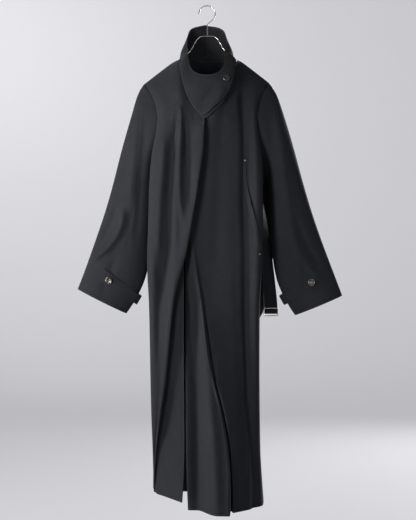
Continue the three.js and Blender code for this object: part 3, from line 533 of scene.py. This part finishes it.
RIGHT_FRONT_FACE = [(-139, -105), (-494, -107), (-707, -109), (-818, -105), (-926, -95), (-1034, -80),
                    (-1142, -50), (-1241, -2), (-1325, 68), (-1384, 108)]
RIGHT_FRONT_FOLDS = [
    Fold(8.0, 11, 10, 45, [(-240, -102), (-280, -104), (-333, -112), (-387, -116), (-468, -120), (-548, -126),
                           (-629, -129), (-700, -131)]),
    Fold(-10.5, 11, 12, 45, [(-235, -82), (-280, -85), (-387, -91), (-468, -96), (-548, -101), (-629, -101),
                            (-710, -105), (-764, -116), (-810, -122)]),
    Fold(9.0, 9, 10, 40, [(-235, -69), (-333, -70), (-468, -74), (-548, -72), (-600, -66)]),
    Fold(-7.5, 9, 11, 34, [(-300, -60), (-387, -56), (-468, -50), (-560, -45)]),
    Fold(7.0, 24, 9, 40, [(-330, -8), (-413, -13), (-494, -24), (-575, -35), (-624, -46), (-707, -62),
                          (-770, -80), (-818, -90), (-926, -102), (-1033, -113), (-1142, -129),
                          (-1200, -137)]),
]
RIGHT_FRONT_INNER_FOLDS = [
    Fold(8.0, 16, 17, 50, [(-800, -80), (-926, -80), (-1080, -82)]),
    Fold(24.0, 34, 22, 60, [(-1150, -86), (-1300, -87), (-1500, -88)]),
]
LEFT_FRONT_FOLDS = [
    Fold(-15.0, 6, 28, 45, [(-225, 86), (-280, 90), (-340, 95), (-560, 96), (-640, 99), (-900, 101),
                            (-980, 104), (-1090, 108), (-1190, 117), (-1300, 123), (-1400, 124)]),
    Fold(5.0, 12, 12, 50, [(-250, 126), (-494, 134), (-820, 136), (-1200, 140)]),
    Fold(-3.0, 12, 14, 50, [(-300, 38), (-420, 33), (-560, 26), (-700, 22)]),
    Fold(-28.0, 22, 20, 70, [(-800, -34), (-900, -31), (-980, -27), (-1090, -24), (-1200, -23),
                             (-1400, -20)]),
    Fold(7.0, 13, 18, 60, [(-800, -22), (-900, -16), (-980, -8), (-1090, 2), (-1190, 17), (-1300, 23),
                           (-1400, 27)]),
    Fold(17.0, 24, 24, 28, [(-185, 34), (-215, 36), (-300, 26), (-330, 20)]),
    Fold(-14.0, 34, 5, 90, [(-1000, 6), (-1052, 15), (-1116, 34), (-1207, 50), (-1298, 56), (-1500, 56)]),
    Fold(16.0, 3, 44, 80, [(-860, 0), (-942, 10), (-1052, 28), (-1116, 46), (-1207, 61), (-1298, 67),
                           (-1500, 67)]),
    Fold(26.0, 3, 48, 90, [(-1040, 26), (-1116, 46), (-1207, 61), (-1298, 67), (-1500, 67)]),
]
FLAP_FOLDS = [
    Fold(3.0, 12, 7, 8, [(-250, 46), (-259, 41), (-281, 28), (-302, 9), (-316, -4)]),
    Fold(-2.5, 14, 12, 10, [(-235, 20), (-259, 8), (-281, -9), (-300, -16)]),
]

# The back's spare width at each height, and the places across and behind the coat between which it grows in
SIDE_FULLNESS = [(-408, 0), (-430, 20), (-456, 42), (-490, 53), (-520, 61), (-560, 68), (-610, 70),
                 (-660, 64), (-716, 53), (-760, 32), (-800, 22), (-855, 19), (-880, 5), (-910, 0)]
FULLNESS_ACROSS = (50, 124)
FULLNESS_BEHIND = (50, 74)

BACK_FOLDS = [
    Fold(4.0, 10, 14, 90, [(-330, -92), (-700, -97), (-1200, -102)]),
    Fold(-4.0, 12, 9, 90, [(-380, -52), (-800, -58), (-1250, -62)]),
    Fold(4.5, 13, 10, 90, [(-420, -6), (-800, -12), (-1250, -16)]),
    Fold(-4.0, 9, 12, 90, [(-360, 42), (-800, 50), (-1250, 54)]),
    Fold(4.0, 12, 10, 90, [(-330, 88), (-760, 92), (-1200, 97)]),
]
SLEEVE_FRONT_FOLDS = {
    "right": [Fold(10.0, 8, 12, 16, [(-575, -232), (-620, -240), (-655, -258), (-690, -292), (-716, -328)]),
              Fold(-6.5, 12, 12, 16, [(-560, -252), (-610, -268), (-650, -290), (-680, -314)]),
              Fold(4.0, 12, 10, 50, [(-320, -196), (-450, -206), (-560, -214)]),
              Fold(-3.5, 9, 12, 50, [(-330, -172), (-480, -182), (-640, -196)]),
              Fold(-3.0, 12, 12, 30, [(-700, -252), (-760, -276), (-800, -290)])],
    "left": [Fold(3.5, 12, 14, 50, [(-320, 196), (-460, 212), (-620, 232), (-760, 258)]),
             Fold(-3.5, 10, 12, 50, [(-330, 172), (-480, 186), (-640, 205)]),
             Fold(-4.5, 13, 10, 24, [(-600, 246), (-660, 272), (-720, 306)]),
             Fold(3.0, 12, 14, 24, [(-640, 236), (-700, 262), (-760, 300)])],
}
SLEEVE_BACK_FOLDS = {
    "right": [Fold(5.0, 12, 14, 40, [(-330, -190), (-520, -212), (-640, -236)]),
              Fold(-5.0, 12, 10, 40, [(-420, -196), (-600, -232), (-700, -266)]),
              Fold(4.0, 13, 13, 30, [(-600, -262), (-700, -292), (-770, -310)])],
    "left": [Fold(5.0, 12, 14, 40, [(-330, 188), (-520, 212), (-640, 238)]),
             Fold(-5.0, 12, 10, 40, [(-420, 196), (-600, 232), (-700, 268)]),
             Fold(4.0, 13, 13, 30, [(-600, 264), (-700, 296), (-770, 316)])],
}


# Depths in millimetres at which a layer's folds give way to the next layer's
FACE_TO_INNER = (-1, 5)
SLEEVE_SEAM_TO_FACE = (4, 26)
FLAP_DEPTHS = (60, 85)


def panel_shell(node, levels, move):
    """A panel's cloth: the solid's own form, subdivided, with its folds and a slow unevenness."""
    bm = merged(node)
    crease_rims(bm)
    piece = subdivided(node + "_cloth", bm, levels)
    co = places(piece)
    held = np.minimum(1, np.abs(normals(piece)[:, 1]))
    away = move(co * TO_MM)
    waves = wave_cloth(co, sizes().cloth_waviness, CLOTH_SEEDS[node])
    co[:, 1] += np.sign(away[:, 1]) * waves * held
    co += away * MM * sizes().fold_depth
    put(piece, co)
    return piece


def right_front_move(mm):
    """The folds of the right front's face, and of the layers that lie rolled under it."""
    x, y, z = mm.T
    face = down(RIGHT_FRONT_FACE, z)
    outer = 1 - step(face + FACE_TO_INNER[0], face + FACE_TO_INNER[1], y)
    away = np.zeros_like(mm)
    away[:, 1] -= fold_rise(RIGHT_FRONT_FOLDS, x, z) * outer
    away[:, 1] -= fold_rise(RIGHT_FRONT_INNER_FOLDS, x, z) * (1 - outer)
    return away


def left_front_move(mm):
    """The folds of the left front and of the pocket on it."""
    x, _, z = mm.T
    away = np.zeros_like(mm)
    away[:, 1] = -fold_rise(LEFT_FRONT_FOLDS, x, z)
    return away


def side_fullness(mm):
    """The back's spare width, which hangs out to the wearer's left behind the belt."""
    x, y, z = mm.T
    return down(SIDE_FULLNESS, z) * step(*FULLNESS_ACROSS, x) * step(*FULLNESS_BEHIND, y)


def belt_move(mm):
    """The belt's run round the back goes out with the cloth that it lies on."""
    away = np.zeros_like(mm)
    away[:, 0] = side_fullness(mm)
    return away


def back_move(mm):
    """The back's folds and its spare width."""
    x, _, z = mm.T
    away = np.zeros_like(mm)
    away[:, 1] = fold_rise(BACK_FOLDS, x, z)
    away[:, 0] = side_fullness(mm)
    return away


def sleeve_move(side):
    """The folds before and behind one sleeve."""
    def move(mm):
        x, y, z = mm.T
        away = np.zeros_like(mm)
        front = step(*SLEEVE_SEAM_TO_FACE, -y)
        back = step(*SLEEVE_SEAM_TO_FACE, y)
        away[:, 1] = (-fold_rise(SLEEVE_FRONT_FOLDS[side], x, z) * front
                      + fold_rise(SLEEVE_BACK_FOLDS[side], x, z) * back)
        return away
    return move


def body_panels():
    """The cloth of the back and the two fronts."""
    return [bpy.data.objects[node + "_cloth"] for node in ("back_panel", "right_front", "left_front")]


class COAT_OT_body(bpy.types.Operator):
    """Make the back and the two fronts, sewn at the shoulders and the sides"""

    bl_idname = "coat.body"
    bl_label = "Body panels"

    def execute(self, context):
        wool = finishes()["wool"]
        back = panel_shell("back_panel", BODY_LEVELS, back_move)
        right = panel_shell("right_front", BODY_LEVELS, right_front_move)
        left = panel_shell("left_front", BODY_LEVELS, left_front_move)
        for front in (right, left):
            close_seam(front, [back], SIDE_SEAM)
        dress(back, ["back_panel"], "wool", wool)
        dress(right, ["right_front"], "wool", wool)
        dress(left, ["left_front"], "wool", wool)
        return {"FINISHED"}


class COAT_OT_sleeves(bpy.types.Operator):
    """Make the two sleeves with their wide cuffs"""

    bl_idname = "coat.sleeves"
    bl_label = "Sleeves"

    def execute(self, context):
        body = body_panels()
        for side in ("right", "left"):
            sleeve = panel_shell(side + "_sleeve", FINE_LEVELS, sleeve_move(side))
            close_seam(sleeve, body, ARMHOLE_SEAM)
            dress(sleeve, [side + "_sleeve"], "wool", finishes()["wool"])
        sewn = body + [bpy.data.objects[side + "_sleeve_cloth"] for side in ("right", "left")]
        for piece in sewn:
            mark_edges(piece, [other for other in sewn if other != piece])
        return {"FINISHED"}


def plain_move(mm):
    """No folds."""
    return np.zeros_like(mm)


def flap_move(mm):
    """The folds of the collar's buttoned flap."""
    x, y, z = mm.T
    away = np.zeros_like(mm)
    away[:, 1] = -fold_rise(FLAP_FOLDS, x, z) * step(*FLAP_DEPTHS, -y)
    return away


def neckline(co):
    """The collar's low edge where it is sewn to the neck of the back and the shoulders."""
    return (co[:, 1] > NECKLINE_FRONT) & (co[:, 2] < NECKLINE_TOP)


def tuck_neckline(collar):
    """Runs the collar's sewn edge down inside the neck, as its seam allowance does."""
    co = places(collar)
    tree = place_tree(co[rim_of(collar) & neckline(co)])
    near = np.array([tree.find(Vector(p))[2] for p in co])
    hold = (1 - step(0, NECK_TUCK_FADE, near)) * step(*NECK_TUCK_FRONT, co[:, 1])
    outward = co[:, :2] / np.maximum(np.linalg.norm(co[:, :2], axis=1), TINY)[:, None]
    co[:, :2] -= outward * (NECK_TUCK_IN * hold)[:, None]
    co[:, 2] -= NECK_TUCK_DOWN * hold
    put(collar, co)


def lay_down(piece, under, drop):
    """Brings a strap closer to the cloth under it, by the drop at most."""
    mesh = under.data
    tree = BVHTree.FromPolygons([v.co for v in mesh.vertices], [f.vertices for f in mesh.polygons])
    co = places(piece)
    for i, at in enumerate(co):
        spot, normal, _, far = tree.find_nearest(Vector(at))
        if (Vector(at) - spot).dot(normal) > 0:
            co[i] -= np.array(normal) * min(drop, max(0.0, far - SEAM_LEFT_OPEN))
    put(piece, co)


def back_middle(co):
    """The collar's seam at the middle of the back."""
    return (co[:, 1] > COLLAR_BACK) & (np.abs(co[:, 0]) < COLLAR_BACK_HALF)


class COAT_OT_collar(bpy.types.Operator):
    """Make the funnel collar's two halves, the right one with the buttoned flap"""

    bl_idname = "coat.collar"
    bl_label = "Funnel collar"

    def execute(self, context):
        body = body_panels()
        for side, width, length, area in (("right", 0.30, 0.15, 0.0279), ("left", 0.26, 0.13, 0.0217)):
            move = flap_move if side == "right" else plain_move
            collar = panel_shell("collar_" + side, FINE_LEVELS, move)
            close_seam(collar, body, NECK_SEAM, neckline)
            tuck_neckline(collar)
            if side == "left":
                close_seam(collar, [bpy.data.objects["collar_right_cloth"]], COLLAR_BACK_SEAM, back_middle)
            mark_edges(collar, body)
            dress(collar, ["collar_" + side], "wool", finishes()["wool"])
        return {"FINISHED"}


# Half profiles as shares of a packed disc's radius and height, from the middle of its base to that of its top
BUTTON_PROFILE = [(0, 0), (0.86, 0), (0.96, 0.16), (1, 0.42), (0.985, 0.72), (0.93, 0.93), (0.86, 1),
                  (0.78, 0.95), (0.7, 0.8), (0.55, 0.68), (0.3, 0.62), (0, 0.6)]
TACK_PROFILE = [(0, 0), (1, 0), (1, 0.5), (0.9, 0.82), (0.6, 1), (0.3, 0.94), (0, 0.9)]
SHARP_CORNER = math.radians(40)

# A button's holes and thread, as shares of its radius, its height and the width of a hole
HOLE_RING = 0.24
THREAD_LENGTH = 0.62
THREAD_THICKNESS = 0.62
THREAD_HEIGHTS = (0.72, 0.82)


def disc_frame(node):
    """The middle of the base, the outward direction, the radius and the height of a packed disc."""
    co = np.array([v.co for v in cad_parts[node].data.vertices], float)
    middle = co.mean(0)
    axis = Vector(np.linalg.svd(co - middle, full_matrices=False)[2][2])
    if axis.y > 0:
        axis = -axis
    along = (co - middle) @ np.array(axis)
    across = np.linalg.norm((co - middle) - np.outer(along, np.array(axis)), axis=1)
    centre = (co.max(0) + co.min(0)) / 2
    base = Vector(centre) + axis * (along.min() - (centre - middle) @ np.array(axis))
    return base, axis, across.max(), along.max() - along.min()


def set_on(bm, base, axis):
    """Turns a shape that stands on the origin so that it stands on its base along the axis."""
    turned = axis.to_track_quat("Z", "Y").to_matrix().to_4x4()
    bmesh.ops.transform(bm, matrix=Matrix.Translation(base) @ turned, verts=bm.verts)


def scaled(profile, radius, height):
    """A half profile of shares as one of sizes."""
    return [(radius * share, height * rise) for share, rise in profile]


def lathe(bm, profile, steps):
    """A closed round shape from its half profile of (radius, height), about the Z axis."""
    line = [bm.verts.new((r, 0, h)) for r, h in profile]
    edges = [bm.edges.new(pair) for pair in zip(line, line[1:])]
    bmesh.ops.spin(bm, geom=line + edges, cent=(0, 0, 0), axis=(0, 0, 1), angle=2 * math.pi, steps=steps,
                   use_merge=True)
    bmesh.ops.remove_doubles(bm, verts=bm.verts, dist=MERGE)
    bmesh.ops.recalc_face_normals(bm, faces=bm.faces)


def as_object(name, bm, corner=SHARP_CORNER):
    """An object with the bmesh as its mesh, smooth except at its sharp corners."""
    for face in bm.faces:
        face.smooth = True
    for edge in bm.edges:
        edge.smooth = edge.calc_face_angle(0) < corner
    mesh = bpy.data.meshes.new(name)
    bm.to_mesh(mesh)
    bm.free()
    piece = bpy.data.objects.new(name, mesh)
    bpy.context.scene.collection.objects.link(piece)
    return piece


def drilled(button, radius, height, hole):
    """The button with its four thread holes."""
    drill = bmesh.new()
    for turn in range(4):
        angle = math.pi / 4 + turn * math.pi / 2
        made = bmesh.ops.create_cone(drill, cap_ends=True, segments=12, radius1=hole, radius2=hole,
                                     depth=height * 4)
        aside = Vector((math.cos(angle), math.sin(angle), 0)) * radius * HOLE_RING
        bmesh.ops.translate(drill, verts=made["verts"], vec=aside)
    cutter = as_object(button.name + "_holes", drill)
    cut = button.modifiers.new("Holes", "BOOLEAN")
    cut.operation, cut.solver, cut.object = "DIFFERENCE", "EXACT", cutter
    button = with_modifiers_applied(button)
    bpy.data.objects.remove(cutter)
    return button


def sew_cross(bm, radius, height, hole):
    """Adds the thread's two stretches, which cross over the holes, in the second material."""
    thread = hole * THREAD_THICKNESS
    for turn, lift in enumerate(THREAD_HEIGHTS):
        made = bmesh.ops.create_cone(bm, cap_ends=True, segments=8, radius1=thread, radius2=thread,
                                     depth=radius * THREAD_LENGTH)
        around = Matrix.Rotation(math.pi / 4 + turn * math.pi / 2, 4, "Z")
        swing = around @ Matrix.Rotation(math.pi / 2, 4, "Y")
        raised = Matrix.Translation((0, 0, height * lift))
        bmesh.ops.transform(bm, matrix=raised @ swing, verts=made["verts"])
        for face in {f for v in made["verts"] for f in v.link_faces}:
            face.material_index = 1
            face.smooth = True


def sewn_button(node):
    """A four-hole button with a raised rim, a dished middle and its thread."""
    base, axis, radius, height = disc_frame(node)
    hole = sizes().button_hole
    bm = bmesh.new()
    lathe(bm, scaled(BUTTON_PROFILE, radius, height), steps=48)
    button = drilled(as_object(node + "_horn", bm), radius, height, hole)
    bm = bmesh.new()
    bm.from_mesh(button.data)
    for face in bm.faces:
        face.material_index = 0
    sew_cross(bm, radius, height, hole)
    set_on(bm, base, axis)
    bm.to_mesh(button.data)
    bm.free()
    return dress(button, [node], "button", finishes()["horn"], finishes()["thread"])


class COAT_OT_buttons(bpy.types.Operator):
    """Make the collar's button and the two cuff buttons"""

    bl_idname = "coat.buttons"
    bl_label = "Buttons"

    def execute(self, context):
        for node in ("collar_button", "right_cuff_button", "left_cuff_button"):
            sewn_button(node)
        return {"FINISHED"}


class COAT_OT_cuff_tabs(bpy.types.Operator):
    """Make the strap round each cuff"""

    bl_idname = "coat.cuff_tabs"
    bl_label = "Cuff tabs"

    def execute(self, context):
        for side, area in (("right", 0.0059), ("left", 0.0061)):
            tab = panel_shell(side + "_cuff_tab", FINE_LEVELS, plain_move)
            lay_down(tab, bpy.data.objects[side + "_sleeve_cloth"], TAB_DROP)
            mark_edges(tab, [bpy.data.objects[side + "_sleeve_cloth"]])
            dress(tab, [side + "_cuff_tab"], "wool", finishes()["wool"])
        return {"FINISHED"}


class COAT_OT_pocket(bpy.types.Operator):
    """Make the pocket's narrow welt and the metal tack at each of its ends"""

    bl_idname = "coat.pocket"
    bl_label = "Pocket"

    def execute(self, context):
        welt = panel_shell("left_pocket_welt", BODY_LEVELS, left_front_move)
        mark_edges(welt, [])
        dress(welt, ["left_pocket_welt"], "wool", finishes()["wool"])
        for end in ("top", "bottom"):
            node = "left_pocket_tack_" + end
            base, axis, radius, height = disc_frame(node)
            bm = bmesh.new()
            lathe(bm, scaled(TACK_PROFILE, radius, height), steps=24)
            set_on(bm, base, axis)
            dress(as_object(node + "_head", bm), [node], "trim_metal", finishes()["metal"])
        return {"FINISHED"}


# A packed rod keeps its ends crisp when it is rounded, and its swell makes it a little thicker or thinner
ROD_CORNER = math.radians(70)
ROD_CREASE = 0.8
LOOP_SWELL = 0.1 * MM
BUCKLE_SWELL = 0.12 * MM
BAR_SWELL = 0.1 * MM
WIRE_SWELL = -0.25 * MM


def rod_copy(node, name, swell, slot, material):
    """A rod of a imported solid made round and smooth."""
    bm = merged(node)
    crease = bm.edges.layers.float.new("crease_edge")
    for edge in bm.edges:
        edge[crease] = ROD_CREASE if edge.calc_face_angle(0) > ROD_CORNER else 0
    for face in bm.faces:
        face.smooth = True
    piece = subdivided(name, bm, BODY_LEVELS)
    put(piece, places(piece) + normals(piece) * swell)
    return dress(piece, [node], slot, material)


class COAT_OT_belt(bpy.types.Operator):
    """Make the belt with its thread loops and its slide buckle"""

    bl_idname = "coat.belt"
    bl_label = "Belt"

    def execute(self, context):
        belt = panel_shell("belt", BODY_LEVELS, belt_move)
        mark_edges(belt, [])
        dress(belt, ["belt"], "wool", finishes()["wool"])
        for side in ("left", "right"):
            thread = finishes()["thread"]
            rod_copy("belt_loop_" + side, f"belt_loop_{side}_thread", LOOP_SWELL, "wool", thread)
        rod_copy("belt_buckle", "belt_buckle_frame", BUCKLE_SWELL, "trim_metal", finishes()["metal"])
        rod_copy("belt_buckle_bar", "belt_buckle_slide", BAR_SWELL, "trim_metal", finishes()["metal"])
        return {"FINISHED"}


class COAT_OT_hanger(bpy.types.Operator):
    """Make the wire hanger: its hook and its arms"""

    bl_idname = "coat.hanger"
    bl_label = "Hanger"

    def execute(self, context):
        for part in ("hook", "arms"):
            rod_copy("hanger_" + part, f"hanger_{part}_wire", WIRE_SWELL, "hanger_metal", finishes()["metal"])
        return {"FINISHED"}


# The studio's bowl, as a radius and a rise over its floor
BOWL_PROFILE = [(0, 0), (2.2, 0), (3.6, 0), (4.4, 0.08), (4.95, 0.32), (5.35, 0.8), (5.5, 1.5), (5.5, 3.2),
                (5.5, 6.2)]
BOWL_CORNER = math.radians(80)
BOWL_COLOUR = (0.5, 0.5, 0.52, 1)
BOWL_GLOW_COLOUR = (0.97, 0.96, 1.0, 1)
BOWL_GLOW_UNSEEN = 0.03
BOWL_GLOW_SEEN = 0.4
SKY_COLOUR = (0.93, 0.94, 1.0, 1)
SKY_STRENGTH = 0.12

Light = namedtuple("Light", "name place aim size power colour")
LIGHTS = [
    Light("Key", (-3.5, -1.12, -0.8), (0, 0, -0.72), (1.0, 0.8), 47, (1.0, 0.99, 0.98)),
    Light("Near", (-0.85, -1.35, -0.62), (0, -0.1, -0.3), (0.4, 0.4), 7, (1.0, 0.99, 0.98)),
    Light("Front", (1.3, -4.0, -0.9), (0, 0, -0.7), (2.0, 1.3), 10.5, (0.97, 0.98, 1.0)),
    Light("Behind", (2.2, 3.1, -0.3), (0, 0, -0.75), (1.2, 1.2), 34, (1.0, 1.0, 1.0)),
    Light("Backdrop", (-2.0, 2.4, 1.2), (-1.3, 5.3, 0.8), (1.6, 1.6), 26, (1.0, 1.0, 1.0)),
]
LIGHT_SPREAD = math.radians(110)

CAMERA_PLACE = (0.0014, -3.0, -0.710)
CAMERA_LENS_MM = 74.18
CAMERA_SENSOR_MM = 36
CAMERA_SEES_BETWEEN = (0.05, 60)


def studio_finish():
    """A pale matt finish that glows a little where the camera sees it."""
    material = bpy.data.materials.new("Pale studio")
    material.use_nodes = True
    shader = material.node_tree.nodes["Principled BSDF"]
    shader.inputs["Base Color"].default_value = BOWL_COLOUR
    shader.inputs["Roughness"].default_value = 0.95
    shader.inputs["Specular IOR Level"].default_value = 0.1
    shader.inputs["Emission Color"].default_value = BOWL_GLOW_COLOUR
    w = Wiring(material.node_tree)
    seen = w.add("ShaderNodeLightPath").outputs["Is Camera Ray"]
    glow = w.add("ShaderNodeMapRange", {"Value": seen, "To Min": BOWL_GLOW_UNSEEN, "To Max": BOWL_GLOW_SEEN})
    w.feed(shader.inputs["Emission Strength"], glow.outputs[0])
    return material


def studio_bowl():
    """The studio's round floor and its wall in one turned shape."""
    bm = bmesh.new()
    floor = sizes().floor_drop
    lathe(bm, [(radius, floor + rise) for radius, rise in BOWL_PROFILE], steps=64)
    bmesh.ops.reverse_faces(bm, faces=bm.faces)
    bowl = as_object("studio_floor", bm, BOWL_CORNER)
    bowl.data.materials.append(studio_finish())


def daylight(scene):
    """The sky's even light."""
    world = bpy.data.worlds.new("Soft daylight")
    world.use_nodes = True
    sky = world.node_tree.nodes["Background"]
    sky.inputs["Color"].default_value = SKY_COLOUR
    sky.inputs["Strength"].default_value = SKY_STRENGTH
    scene.world = world


def soft_box(scene, light):
    """One rectangular light, turned to what it is aimed at."""
    data = bpy.data.lights.new(light.name, "AREA")
    data.shape = "RECTANGLE"
    data.size, data.size_y = light.size
    data.energy = light.power
    data.color = light.colour
    data.spread = LIGHT_SPREAD
    lamp = bpy.data.objects.new(light.name, data)
    scene.collection.objects.link(lamp)
    lamp.location = light.place
    lamp.rotation_euler = (Vector(light.aim) - Vector(light.place)).to_track_quat("-Z", "Y").to_euler()
    lamp.visible_camera = False


def camera_in_front(scene):
    """The camera, level before the coat."""
    lens = bpy.data.cameras.new("Camera")
    lens.lens, lens.sensor_width = CAMERA_LENS_MM, CAMERA_SENSOR_MM
    lens.clip_start, lens.clip_end = CAMERA_SEES_BETWEEN
    camera = bpy.data.objects.new("Camera", lens)
    scene.collection.objects.link(camera)
    camera.location = CAMERA_PLACE
    camera.rotation_euler = (math.pi / 2, 0, 0)
    scene.camera = camera


class COAT_OT_stage(bpy.types.Operator):
    """Make the pale round studio, its soft lights and the camera"""

    bl_idname = "coat.stage"
    bl_label = "Studio"

    def execute(self, context):
        studio_bowl()
        daylight(context.scene)
        for light in LIGHTS:
            soft_box(context.scene, light)
        camera_in_front(context.scene)
        context.scene.view_settings.view_transform = "Standard"
        return {"FINISHED"}


PIECES = (COAT_OT_body, COAT_OT_sleeves, COAT_OT_collar, COAT_OT_cuff_tabs, COAT_OT_pocket, COAT_OT_buttons,
          COAT_OT_belt, COAT_OT_hanger, COAT_OT_stage)


class COAT_PT_panel(bpy.types.Panel):
    """Lists the coat's sizes and pieces"""

    bl_label = "Wrap coat"
    bl_space_type = "VIEW_3D"
    bl_region_type = "UI"
    bl_category = "Coat"

    def draw(self, context):
        for name in CoatSizes.__annotations__:
            self.layout.prop(context.scene.coat_sizes, name)
        for piece in PIECES:
            self.layout.operator(piece.bl_idname)


def register():
    bpy.utils.register_class(CoatSizes)
    for made in (*PIECES, COAT_PT_panel):
        bpy.utils.register_class(made)
    bpy.types.Scene.coat_sizes = bpy.props.PointerProperty(type=CoatSizes)


def unregister():
    del bpy.types.Scene.coat_sizes
    for made in (COAT_PT_panel, *reversed(PIECES), CoatSizes):
        bpy.utils.unregister_class(made)


def main():
    """Makes the whole coat and its studio."""
    register()
    bpy.ops.coat.body()
    bpy.ops.coat.sleeves()
    bpy.ops.coat.collar()
    bpy.ops.coat.cuff_tabs()
    bpy.ops.coat.pocket()
    bpy.ops.coat.buttons()
    bpy.ops.coat.belt()
    bpy.ops.coat.hanger()
    bpy.ops.coat.stage()


if __name__ == "__main__":
    main()
